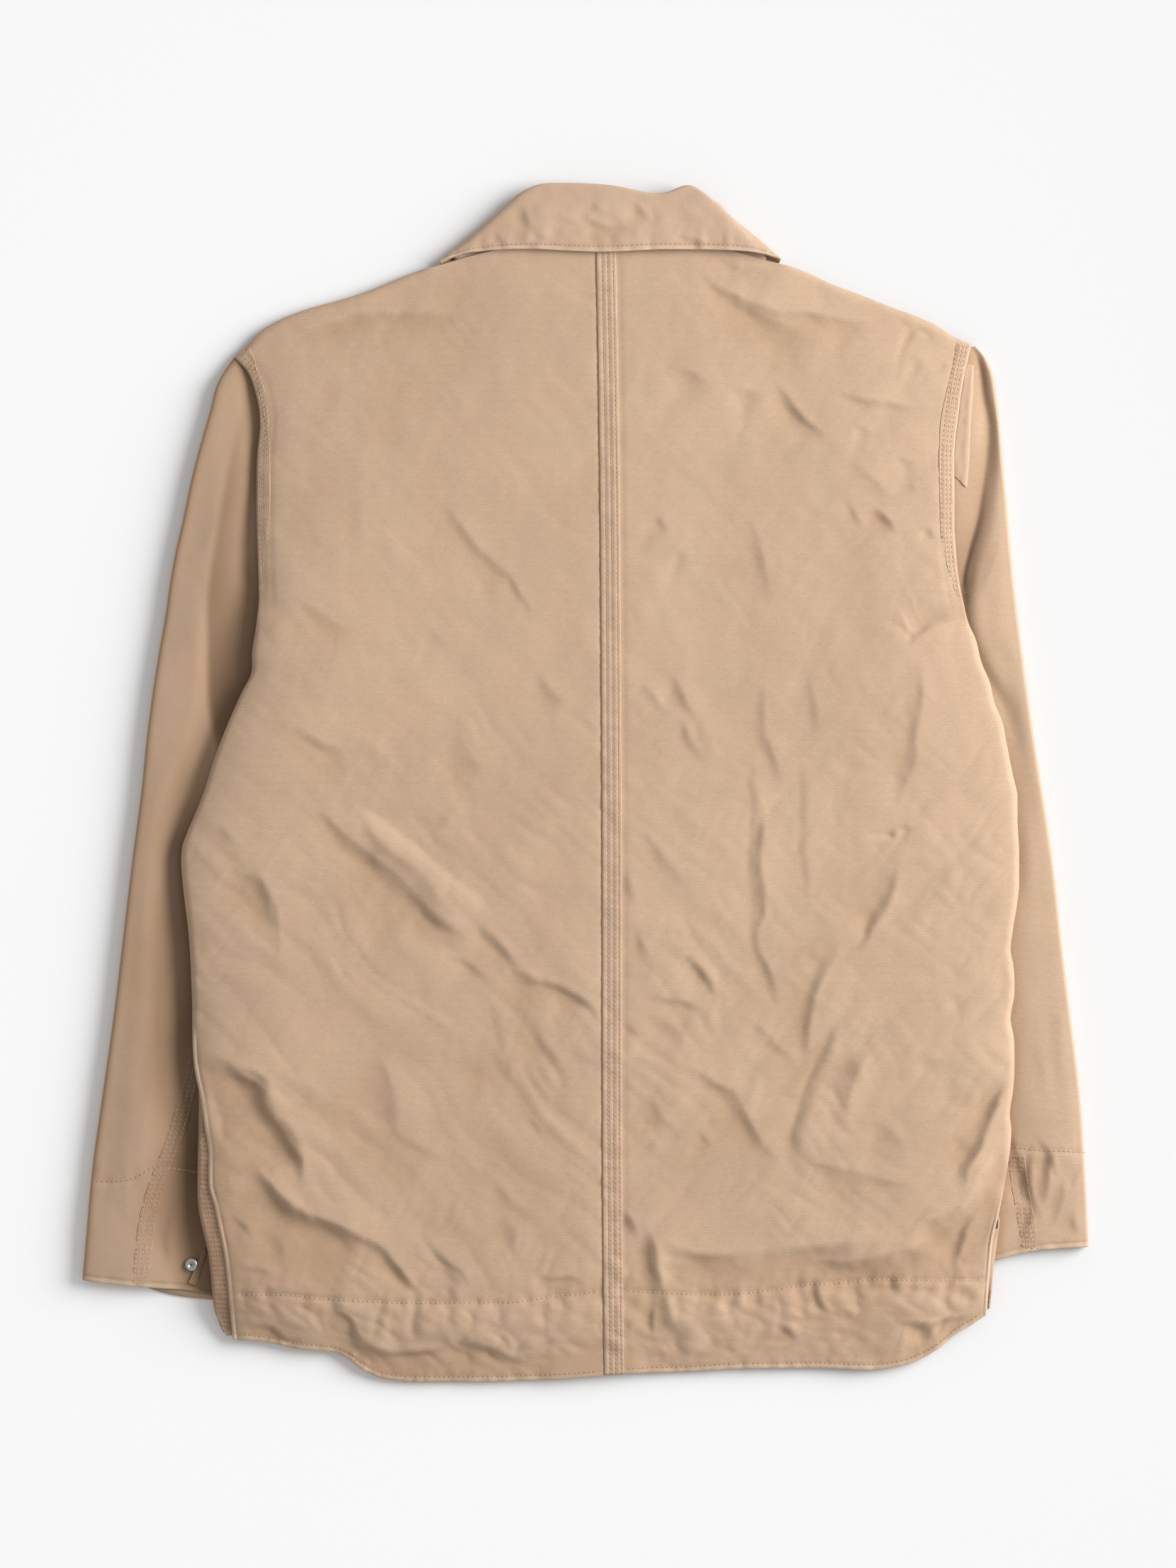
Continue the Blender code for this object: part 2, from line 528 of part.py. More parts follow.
def make_side_seam(side, made_of):
    """The felled side seam: tucked under the back's edge and turned down round the outline."""
    top = SIDE_SEAM_TOP[side] - 6
    low = -357 if side == LEFT else -341
    y = np.linspace(low, top, 12 if side == LEFT else 5)
    seam, outline = EDGE[side](y), OUTLINE[side](y)
    reach = FOLD_REACH * 0.6
    inner = seam - side * (FOLD_REACH + 1.5)
    outer = outline - side * reach
    inner = np.where((outer - inner) * side < 3, outer - side * 3, inner)
    height = back_height(seam - side * FOLD_REACH, y) - LAYER - SLACK
    columns = [np.stack([between(inner, outer, t), y, height], axis=1) for t in (0, 0.5, 1)]
    drop = height - side_meeting(side, y) - SIDE_SEAM_GAP
    columns += turned(columns[-1], (side, 0, 0), reach, drop, np.ones_like(y))
    word = "left" if side == LEFT else "right"
    cloth("side_seam_" + word, np.stack(columns, axis=1), made_of)


def make_felled_seams(left, right, made_of):
    """Strips on the back, made from its points: down the centre and round each armhole."""
    off = CLOTH / 2 + GAP + SEAM_CLOTH / 2
    centre = moved_out(right, off)[: BACK_ROWS, -2:]
    start = centre[:, 1:]
    width = CENTRE_SEAM_WIDTH / (centre[:, :1, 0:1] - start[:, :, 0:1])
    strip = np.concatenate([start, start + (centre[:, :1] - start) * width], axis=1)
    cloth("centre_back_seam", strip, made_of, SEAM_CLOTH)
    turned_columns = len(TURNS)
    for side, grid in ((LEFT, left), (RIGHT, right)):
        rows = [r for r in range(BACK_ROWS) if grid[r, 0, 1] > UNDERARM + 4]
        strip = moved_out(grid, off)[rows, : turned_columns + 2]
        word = "left" if side == LEFT else "right"
        cloth("armhole_seam_" + word, strip, made_of, SEAM_CLOTH)


def sleeve_section(side, y):
    """Points of the sleeve's section at each y, by name, as an x and a height."""
    at = {
        name: spline(SLEEVE[side], 0, index)(y)
        for index, name in enumerate(SleeveRow._fields)
        if index
    }
    room = (at["outer"] - at["trough_x"]) * side
    crest_in = np.minimum(CREST_IN, np.maximum(room * 0.55, SLEEVE_ROLL + 0.8))
    return {
        "edge": np.array([at["outer"] - side * SLEEVE_ROLL, at["crest"] - EDGE_DROP]),
        "crest": np.array([at["outer"] - side * crest_in, at["crest"]]),
        "trough": np.array([at["trough_x"], at["trough"]]),
        "shelf": np.array([at["shelf_x"], at["shelf"]]),
        "inner": np.array([at["inner_x"], at["inner"]]),
    }


def sleeve_rows(side, kind, u, rows):
    """Y of each point of a column that lies at u across the sleeve."""
    low = float(spline(CUFF[side, kind])(u))
    first, last = SLEEVE[side][0].y, SLEEVE[side][-1].y
    nominal = np.linspace(first, last, rows)
    shift = (low - first) * smooth(1 - (nominal - first) / 80)
    return nominal, nominal + shift


def make_sleeve(side, made_of):
    """The upper panel, which rolls over at its outer edge, and the flat under panel."""
    word = "left" if side == LEFT else "right"
    columns = []
    for column in UPPER_COLUMNS:
        nominal, y = sleeve_rows(side, "upper", column.share, SLEEVE_ROWS)
        sections = sleeve_section(side, nominal)
        start, end = sections[column.start], sections[column.end]
        points = between(start, end, column.way)
        columns.append(np.stack([points[0], y, points[1]], axis=1))
    edge_line = columns[0]
    drop = edge_line[:, 2] - ROLL_MEETING - TURN_GAP
    ones = np.ones(len(edge_line))
    turns = turned(edge_line, (side, 0, 0), SLEEVE_ROLL, drop, ones)
    upper = np.stack(turns[::-1] + columns, axis=1)
    lid = np.where(upper[:, :, 1] > UNDERARM + 12, back_height(upper[:, :, 0], upper[:, :, 1]),
                   front_height(upper[:, :, 0], upper[:, :, 1], side)) - LAYER - SLACK
    under_body = inside(side, upper[:, :, 0], upper[:, :, 1]) > 0
    upper[:, :, 2] = np.where(under_body, np.minimum(upper[:, :, 2], lid), upper[:, :, 2])
    cloth("sleeve_" + word + "_upper", upper, made_of)

    columns = []
    for u in UNDER_COLUMNS:
        nominal, y = sleeve_rows(side, "under", u, UNDER_ROWS)
        sections = sleeve_section(side, nominal)
        x = between(sections["edge"], sections["inner"], u)[0]
        columns.append(np.stack([x, y, FLOOR_LAYER + 0 * x], axis=1))
    ones = np.ones(UNDER_ROWS)
    rise = (FLOOR_LAYER - ROLL_MEETING + TURN_GAP) * ones
    turns = turned(columns[0], (side, 0, 0), SLEEVE_ROLL, rise, ones)
    cloth("sleeve_" + word + "_under", np.stack(turns[::-1] + columns, axis=1), made_of)
    return upper


def resting_on(grid, clearance):
    """Function that gives the height just above a grid's cloth at a place in plan."""
    rows, columns = grid.shape[:2]
    points = [Vector(p) for p in grid.reshape(-1, 3)]
    faces = [
        (r * columns + c, r * columns + c + 1, (r + 1) * columns + c + 1, (r + 1) * columns + c)
        for r in range(rows - 1)
        for c in range(columns - 1)
    ]
    tree = BVHTree.FromPolygons(points, faces)
    sky = 100.0

    def at(x, y):
        hit = tree.ray_cast(Vector((x, y, sky)), Vector((0, 0, -1)))[0]
        return hit.z + CLOTH / 2 + clearance

    return at


def make_sleeve_seam(side, upper, made_of):
    height = resting_on(upper, GAP + SLACK + SEAM_CLOTH / 2)
    line = spline(SLEEVE_SEAM[side])
    first, last = SLEEVE_SEAM[side][0][0], SLEEVE_SEAM[side][-1][0]
    grid = []
    for y in np.linspace(first, last, 12):
        places = [float(line(y)) + t * SLEEVE_SEAM_WIDTH for t in (-0.5, 0, 0.5)]
        grid.append([(x, y, height(x, y)) for x in places])
    word = "left" if side == LEFT else "right"
    cloth("sleeve_seam_" + word, np.array(grid), made_of, SEAM_CLOTH)


def make_armhole_tab(upper, made_of):
    """End of the binding, lying on the sleeve beside the right armhole."""
    height = resting_on(upper, GAP + SLACK + SEAM_CLOTH / 2)
    right_edge = spline(((190, 247.5), (210, 249), (235, 250), (253, 251.5), (277, 252)))
    grid = []
    for t in np.linspace(0, 1, 7):
        low_left, low_right = between(199, 272, t), between(191, 271, t)
        x_left = float(EDGE[RIGHT](low_left)) + 1.2
        x_right = float(right_edge(low_right))
        ends = ((x_left, low_left), ((x_left + x_right) / 2, (low_left + low_right) / 2),
                (x_right, low_right))
        grid.append([(x, y, height(x, y)) for x, y in ends])
    cloth("armhole_tab_right", np.array(grid), made_of, SEAM_CLOTH)


def make_cuff_vent(upper, made_of):
    """Folded edge of the left cuff's vent, a narrow strip on the upper panel."""
    height = resting_on(upper, GAP + SLACK + CLOTH / 2)
    start, end, width = np.array((-246.2, -305.5)), np.array((-255.3, -326.0)), 2.4
    across = np.array((0.92, -0.4)) * width / 2
    grid = []
    for t in np.linspace(0, 1, 5):
        places = [between(start, end, t) + across * k for k in (-1, 1)]
        top = max(height(*place) for place in places)
        grid.append([(*place, top) for place in places])
    cloth("cuff_vent_left", np.array(grid), made_of)


def make_collar(made_of):
    """A flattened ring, open at the front: stand up to the rim, then the fall back down."""
    stations = np.array([[row.rim, row.edge, row.seam] for row in COLLAR], float)
    steps = np.arange(len(stations))
    fine = np.linspace(0, steps[-1], 2 * steps[-1] + 1)
    curves = np.empty((len(fine), 3, 3))
    for line in range(3):
        for axis in range(3):
            rows = list(zip(steps, stations[:, line, axis]))
            curves[:, line, axis] = spline(rows)(fine)
    rim, edge, seam = curves[:, 0], curves[:, 1], curves[:, 2]
    around = np.gradient(rim, axis=0)
    up = rim - (edge + seam) / 2
    up /= np.linalg.norm(up, axis=1, keepdims=True)
    out = np.cross(around, up)
    out /= np.linalg.norm(out, axis=1, keepdims=True)
    inner_top, outer_top = rim - out * COLLAR_FOLD, rim + out * COLLAR_FOLD
    lines = [seam, between(seam, inner_top, 0.5), inner_top]
    for degrees in (135, 90, 45):
        angle = math.radians(degrees)
        lines.append(rim + (out * math.cos(angle) + up * math.sin(angle)) * COLLAR_FOLD)
    lines += [outer_top, between(outer_top, edge, 0.35), between(outer_top, edge, 0.7), edge]
    cloth("collar", np.stack(lines, axis=1), made_of, COLLAR_CLOTH)


def turned_piece(name, profile, place, made_of, steps):
    """A round piece: its profile, (radius, height) from the axis out and back, is screwed round."""
    mesh = bpy.data.meshes.new(name)
    points = [(radius * MM, 0, height * MM) for radius, height in profile]
    mesh.from_pydata(points, [(i, i + 1) for i in range(len(points) - 1)], [])
    item = add_object(name, mesh, made_of)
    item.location = [value * MM for value in place]
    screw = item.modifiers.new("turn", "SCREW")
    screw.steps = steps
    screw.render_steps = steps
    screw.use_merge_vertices = True
    screw.merge_threshold = 0.00001
    return item


def make_buttons(made_of):
    """Shanked metal buttons on the front, face down on the surface."""
    r, h = BUTTON_RADIUS, BUTTON_HEIGHT
    profile = ((0, h), (r * 0.55, h), (r * 0.95, h * 0.75), (r, h * 0.4), (r * 0.9, 0),
               (r * 0.45, 0), (r * 0.35, h * 0.2), (0, h * 0.2))
    for index, y in enumerate(BUTTON_ROWS):
        turned_piece(f"front_button_{index + 1}", profile, (CENTRE_FRONT, y, 0), made_of, 14)


def make_tack(upper, made_of):
    """Metal tack of the left cuff: a ring with a sunk middle, on the sleeve."""
    height = resting_on(upper, 0)
    around = [i * math.pi / 4 for i in range(8)]
    x, y = TACK_PLACE
    r, h = TACK_RADIUS, TACK_HEIGHT
    base = max(height(x + r * math.cos(a), y + r * math.sin(a)) for a in around) + GAP + SLACK / 2
    profile = ((0, h * 0.45), (r * 0.4, h * 0.45), (r * 0.55, h), (r * 0.8, h), (r, h * 0.6),
               (r, 0), (0, 0))
    turned_piece("cuff_button_left", profile, (x, y, base), made_of, 14)


def main():
    clear_scene()
    bpy.context.scene.collection.children.link(made)
    duck = material("duck", TAN, 0.85)
    seam_duck = material("duck_seam", TAN_DARK, 0.85)
    metal = material("metal", METAL, 0.35, 0.9)
    left_back = make_back(LEFT, duck)
    right_back = make_back(RIGHT, duck)
    make_felled_seams(left_back, right_back, seam_duck)
    uppers = {}
    for side in (LEFT, RIGHT):
        make_front(side, duck)
        make_side_seam(side, seam_duck)
        uppers[side] = make_sleeve(side, duck)
        make_sleeve_seam(side, uppers[side], seam_duck)
    make_armhole_tab(uppers[RIGHT], seam_duck)
    make_cuff_vent(uppers[LEFT], seam_duck)
    make_collar(duck)
    make_buttons(metal)
    make_tack(uppers[LEFT], metal)


main()
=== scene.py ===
"""Looks of a chore jacket of tan cotton duck that lies face down, with its back up.

All sizes are in millimetres and in the part's own frame; the meshes are made in metres. X runs to
the wearer's right, Y towards the collar and Z up from the surface. Each piece of cloth is a fine
grid over the form of the solid that it stands for, closed below into a thin shell. Its creases,
puckers and seams are heights added to that grid, and its thread is a mesh of small stitches.
"""

import math

import bpy
import numpy as np
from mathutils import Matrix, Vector
from mathutils.bvhtree import BVHTree


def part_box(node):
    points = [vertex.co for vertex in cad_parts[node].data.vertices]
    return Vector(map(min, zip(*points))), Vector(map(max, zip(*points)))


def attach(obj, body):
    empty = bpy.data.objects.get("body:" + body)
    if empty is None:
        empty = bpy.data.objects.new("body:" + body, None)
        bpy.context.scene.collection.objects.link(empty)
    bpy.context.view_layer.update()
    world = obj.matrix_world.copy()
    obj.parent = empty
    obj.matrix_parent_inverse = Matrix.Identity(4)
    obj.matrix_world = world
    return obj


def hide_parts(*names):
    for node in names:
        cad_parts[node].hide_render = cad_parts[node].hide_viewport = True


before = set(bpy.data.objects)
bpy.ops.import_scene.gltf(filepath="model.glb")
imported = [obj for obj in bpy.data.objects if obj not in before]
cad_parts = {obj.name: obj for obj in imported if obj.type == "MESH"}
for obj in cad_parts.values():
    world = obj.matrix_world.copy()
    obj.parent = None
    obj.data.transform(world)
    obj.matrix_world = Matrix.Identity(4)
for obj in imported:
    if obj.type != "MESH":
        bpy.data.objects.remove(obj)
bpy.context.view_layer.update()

MM = 0.001
LEFT, RIGHT = -1, 1
WORD = {LEFT: "left", RIGHT: "right"}

# The part's own sizes
CLOTH = 1.3
SEAM_CLOTH = 0.9
COLLAR_CLOTH = 2.0
GAP = 0.3
SLACK = 0.2
LAYER = CLOTH + GAP
TURN_GAP = 0.35
SIDE_SEAM_GAP = 0.9
FLOOR_LAYER = CLOTH / 2
CENTRE_SEAM_WIDTH = 13.0
ARMHOLE_SEAM_WIDTH = 8.0
SLEEVE_SEAM_WIDTH = 11.0
FOLD_REACH = 4.5
CENTRE_FRONT = 8.0
LAP = 14.0
BACK_LEVEL = 8.6
BACK_RISE = {LEFT: 8.4, RIGHT: 6.0}
FRONT_LEVEL = FLOOR_LAYER + LAYER
FRONT_STEP = 4.0
FRONT_RISE = 1.8
PLACKET_LEVEL = 2.5 + GAP + CLOTH / 2
SLEEVE_STEP = 28.0
STEP_START = 10.0
UNDERARM = 118.0
SLEEVE_ROLL = 1.7
ROLL_MEETING = 2.5
EDGE_DROP = 0.3
COLLAR_FOLD = 1.35

BACK_EDGE = {
    LEFT: (
        # y, x
        (-361.5, -229.0), (-330, -231.2), (-318, -232.4), (-305, -234), (-290, -237), (-275, -240),
        (-258, -244), (-240, -244), (-225, -246), (-205, -249), (-185, -253), (-160, -254.5),
        (-140, -255), (-100, -257), (-65, -261), (-52, -262), (-40, -261), (-32, -258),
        (-8, -248), (17, -240), (40, -231), (60, -222), (70, -216.8), (85, -216), (100, -213.5),
        (120, -211.5), (140, -212), (180, -213), (215, -212.5), (232, -211), (245, -212),
        (255, -214.5), (268, -220), (276.5, -228),
    ),
    RIGHT: (
        (-344, 260.5), (-330, 261), (-315, 262), (-295, 264), (-280, 267.5), (-255, 272.5),
        (-225, 276), (-215, 275), (-200, 277), (-185, 278), (-165, 277.5), (-153, 275.5),
        (-135, 278), (-120, 277.5), (-108, 275.5), (-95, 277), (-80, 279.5), (-65, 281),
        (-45, 281), (-25, 280), (-10, 280), (5, 277), (25, 273), (40, 270), (52, 265),
        (65, 262), (77, 257), (95, 252), (101, 249), (118, 244.5), (135, 241.5), (150, 240),
        (165, 239), (210, 239), (225, 240), (240, 242), (255, 244), (270, 247), (285, 250.5),
    ),
}
SIDE_OUTLINE = {
    LEFT: (
        (-361.5, -233.0), (-345, -240), (-330, -242), (-318, -243), (-302, -245.2), (-290, -248),
        (-275, -251), (-255, -251.5), (-230, -251), (-205, -250.6), (-180, -252), (-160, -253.5),
    ),
    RIGHT: ((-344, 262.0), (-330, 263.5), (-315, 264.5), (-300, 266.5), (-280, 269), (-270, 270)),
}
SIDE_SEAM_TOP = {LEFT: -172.0, RIGHT: -283.0}
HEM = (
    # x, y
    (-233, -361.5), (-215, -362.2), (-200, -364.5), (-190, -367), (-175, -368.5), (-162, -370),
    (-155, -373.5), (-145, -381), (-135, -386), (-122, -388.5), (-100, -389.2), (-60, -389),
    (-20, -387.5), (12, -385), (25, -383.8), (60, -383), (100, -380.7), (150, -380.2),
    (200, -379.8), (210, -377.5), (220, -373), (230, -366.5), (240, -358), (250, -352),
    (262, -344),
)
BACK_TOP = (
    # x, y
    (-228, 276.5), (-220, 284), (-210, 294), (-200, 300), (-180, 308), (-160, 313.5),
    (-140, 320), (-120, 328.2), (-110, 332), (-97, 336), (-60, 346), (0, 353), (50, 353),
    (95, 346), (116, 340), (130, 336.5), (140, 333), (160, 324), (180, 316.5), (200, 308.5),
    (220, 301), (230, 296), (238, 290.5), (250.5, 285),
)
NECK_LEFT, NECK_RIGHT = -97.0, 124.0
FRONT_NECK = ((-97, 333), (-60, 316), (-20, 306), (22, 303), (60, 308), (100, 326), (124, 336))

# Sleeve sections: y and the outer edge's x, then x and height of the crest, the brow, a step, the
# trough beside the body, and two places under the body
SLEEVE = {
    LEFT: (
        (-322, -327, -321, 7.4, -302, 8, -280, 6.4, -256, 2.4, -238, 3.4, -185, 2.3),
        (-295, -324.6, -318, 8.4, -300, 8.6, -278, 6.8, -256, 2.4, -240, 3.6, -178, 2.3),
        (-250, -320.5, -313, 8.6, -297, 9.8, -277, 7.9, -255, 2.4, -241, 3.6, -172, 2.3),
        (-200, -313.5, -306, 9, -292, 10.2, -276, 8, -258, 2.4, -244, 4, -162, 2.3),
        (-150, -306.5, -300, 9, -289, 10, -277, 8.2, -261, 2.4, -248, 4, -150, 2.3),
        (-100, -300.5, -295, 9, -287, 9.8, -279, 8.4, -265, 2.4, -251, 4, -138, 2.3),
        (-50, -294.5, -290, 9, -284, 9.6, -277, 8.2, -267.5, 2.4, -256, 4, -126, 2.3),
        (0, -288, -283, 9, -275, 9.6, -265, 8, -252, 2.6, -240, 4, -115, 2.3),
        (26, -285.5, -279, 9, -263, 9.7, -253, 6.6, -242.5, 2.6, -230, 4, -115, 2.3),
        (50, -282.5, -275, 9, -257, 9.6, -248, 6.4, -238, 2.6, -222, 4, -115, 2.3),
        (80, -278, -270, 9, -254, 9.6, -245.5, 6.6, -228, 3.6, -212, 4.2, -124, 2.3),
        (110, -272.8, -265, 9, -251, 9.8, -240, 8.6, -218, 3.6, -208, 4.4, -165, 3.2),
        (130, -270, -262, 9, -247, 9.8, -230, 9, -217.5, 3.6, -209, 5.2, -204.5, 5.4),
        (150, -266.4, -258, 9, -245, 9.8, -229, 9.2, -219.5, 4.8, -211, 6.2, -205, 5.6),
        (168, -262.3, -254, 9, -243, 9.7, -227, 9.2, -218, 5, -210.5, 6.2, -205, 5.6),
        (200, -255.5, -249, 8.8, -238, 9.5, -223, 9, -213.5, 5, -208.5, 5.4, -205, 5.4),
        (240, -244.5, -240, 8.4, -231, 8.6, -222.5, 7.8, -214.5, 4.6, -208.5, 5, -204.5, 5.4),
        (262, -238, -234, 7.6, -228.5, 7.4, -223.5, 6.4, -218, 4.2, -213.5, 4.8, -211, 5.4),
        (276, -228.8, -227, 5.6, -226, 5.2, -225, 4.6, -224, 4.2, -222, 4.4, -220, 4.6),
    ),
    RIGHT: (
        (-301, 327, 323.5, 5.6, 308, 5.8, 292, 5, 278, 3.6, 262, 4, 190, 2.3),
        (-250, 324.5, 321, 7.2, 306, 7.4, 294, 6.8, 280, 5.2, 268, 4.6, 176, 2.3),
        (-200, 321, 317.5, 7.8, 304, 7.9, 292, 7.4, 280, 6.2, 270, 5.2, 166, 2.3),
        (-150, 315, 311.5, 7.8, 299, 7.8, 289, 7.4, 279, 6.4, 269, 5.4, 154, 2.3),
        (-100, 309, 305.5, 7.8, 296, 7.6, 288, 7.2, 280, 6.6, 270, 5.4, 142, 2.3),
        (-50, 303.5, 300, 7.8, 294, 7.5, 287.5, 7, 281.5, 5.6, 274, 5, 130, 2.3),
        (0, 296, 293, 7.8, 289.5, 7.4, 286, 6.9, 282, 6.2, 272, 5, 122, 2.3),
        (50, 288.5, 285.5, 7.9, 281, 7.5, 276.5, 6.4, 271.5, 5.2, 262, 6.2, 122, 2.3),
        (80, 284.5, 281, 7.6, 271, 7.6, 261, 7.2, 255, 5, 249, 5, 132, 2.3),
        (110, 280.7, 277, 7.4, 257, 8.2, 250.5, 7, 245.5, 4.8, 240, 5, 172, 3.2),
        (130, 278.3, 275, 7.4, 258.5, 8.1, 252, 6.8, 248.3, 3.8, 243, 4.8, 235, 5.4),
        (150, 276.3, 273, 7.6, 263, 8.2, 256, 6.6, 251.6, 3.8, 246, 5.2, 234, 5.8),
        (170, 274.6, 271.5, 7.8, 266, 8, 260.5, 6.2, 256.2, 4, 250, 5.4, 232, 6.6),
        (190, 273, 270.2, 7.8, 267, 7.6, 263.6, 5.8, 260, 4.2, 253, 5.6, 232, 6.6),
        (212, 271, 268.6, 7.6, 267.2, 6.6, 265.6, 5, 263, 3.8, 254, 5.8, 233, 6.7),
        (235, 269, 266.8, 7.2, 265.8, 5.8, 264.6, 4.4, 262.8, 3.4, 254.5, 6, 235, 6.8),
        (252, 267, 264.4, 7, 262.8, 5.6, 261.4, 4.2, 259.8, 3.2, 253.5, 5.8, 237, 6.6),
        (270, 263, 260.6, 6.4, 259.4, 5.2, 258.3, 4.2, 257, 3.6, 252.5, 5.6, 243, 6.2),
        (278, 258.4, 257.4, 5.6, 256.6, 5, 255.9, 4.4, 255.2, 4, 252.8, 5, 247, 5.4),
        (283.5, 253.4, 252.6, 4.9, 252.1, 4.6, 251.6, 4.4, 251, 4.2, 250, 4.4, 248, 4.6),
    ),
}
ARMHOLE_IN = {
    # inner edge of the felled armhole seam, from the shoulder down
    LEFT: ((-218, 283), (-211, 265), (-207, 250), (-205, 230), (-204, 190), (-205, 165),
           (-208, 145), (-211, 125)),
    RIGHT: ((241, 286), (238, 270), (233, 250), (230, 235), (229, 215), (229, 200), (229.5, 180),
            (230, 160), (233, 145), (237, 130), (241, 121)),
}
# Felled sleeve seams drawn this much darker, on top of the painted shade beside the body
SEAM_TONE = {LEFT: 0.96, RIGHT: 0.90}
ARMHOLE_ROWS = {LEFT: (1.9, 4.2, 6.4), RIGHT: (2.0, 4.6, 7.4)}
CUFF = {
    (LEFT, "upper"): ((0, -322.5), (0.25, -325.5), (0.45, -329), (0.6, -334), (1, -335)),
    (LEFT, "under"): ((0, -322.5), (0.25, -327), (0.35, -331.5), (0.6, -336.5), (1, -337)),
    (RIGHT, "upper"): ((0, -301), (0.25, -302), (0.38, -303.6), (0.48, -306.5), (0.56, -309.3),
                       (1, -310)),
    (RIGHT, "under"): ((0, -301), (0.25, -302.2), (0.38, -304.2), (0.48, -307.5),
                       (0.56, -310.3), (1, -311)),
}
SLEEVE_SEAM = {
    LEFT: ((-319, -288.5), (-295, -286), (-275, -282.5), (-255, -276), (-235, -268), (-192, -256.5),
           (-180, -253.5)),
    RIGHT: ((-299, 288.5), (-280, 285.5), (-262, 282.5), (-242, 280)),
}
CUFF_LINE = {
    LEFT: ((-321, -258.5), (-300, -258), (-290, -255), (-280, -249.5), (-270, -250), (-250, -254)),
    RIGHT: ((272, -236), (280, -237), (295, -238.5), (310, -239), (325, -240)),
}

# Painted shade on a sleeve beside the body: the share of the light lost, by y, and how far it reaches
SHADE_ROWS = {
    LEFT: ((-340, 0.6, 16), (-315, 0.58, 22), (-290, 0.6, 29), (-270, 0.62, 28), (-250, 0.68, 25),
           (-230, 0.68, 21), (-210, 0.64, 23), (-190, 0.55, 26), (-150, 0.6, 22), (-100, 0.62, 19),
           (-50, 0.64, 8), (0, 0.28, 18), (50, 0.16, 9), (100, 0.22, 8), (140, 0.25, 6),
           (165, 0.12, 3), (200, 0.15, 3), (235, 0.45, 7), (265, 0.45, 7), (285, 0.2, 4)),
    RIGHT: ((-340, 0.25, 5), (-200, 0.15, 5), (0, 0.1, 4), (110, 0.1, 4), (150, 0.1, 4),
            (175, 0.1, 4), (285, 0.1, 4)),
}
# Painted shade past the long soft fold of the left sleeve: y, x and the share of the light lost beyond
# it
LONG_FOLD = ((0, -234, 0), (26, -242, 0.45), (58, -247.5, 0.58), (85, -247.5, 0.47), (120, -247, 0.38),
             (160, -241, 0.26), (200, -234, 0.24), (240, -226, 0.1), (264, -222, 0))
# Painted shade in a soft hollow of the left sleeve outside that shade: y, x and the share of the light
# lost in it
HOLLOW = ((-235, -275, 0), (-172, -276, 0.14), (-108, -276, 0.13), (-60, -277, 0.07),
          (-20, -269, 0.14), (0, -263, 0.16), (20, -259, 0.14), (45, -252, 0.14),
          (66, -251, 0.15), (85, -249, 0.1), (112, -249, 0))
# Painted shade in the groove of the right sleeve beside the body: y, x and the share of the light lost
# in it
GROOVE = ((92, 246.5, 0), (105, 247.4, 0.1), (118, 246.8, 0.45), (130, 246.6, 0.8),
          (150, 250.4, 0.75), (170, 256, 0.6), (190, 259.4, 0.5), (212, 262.4, 0.4),
          (232, 263.6, 0.26), (250, 260.2, 0.38), (270, 257.6, 0.5), (284, 253.5, 0.1))

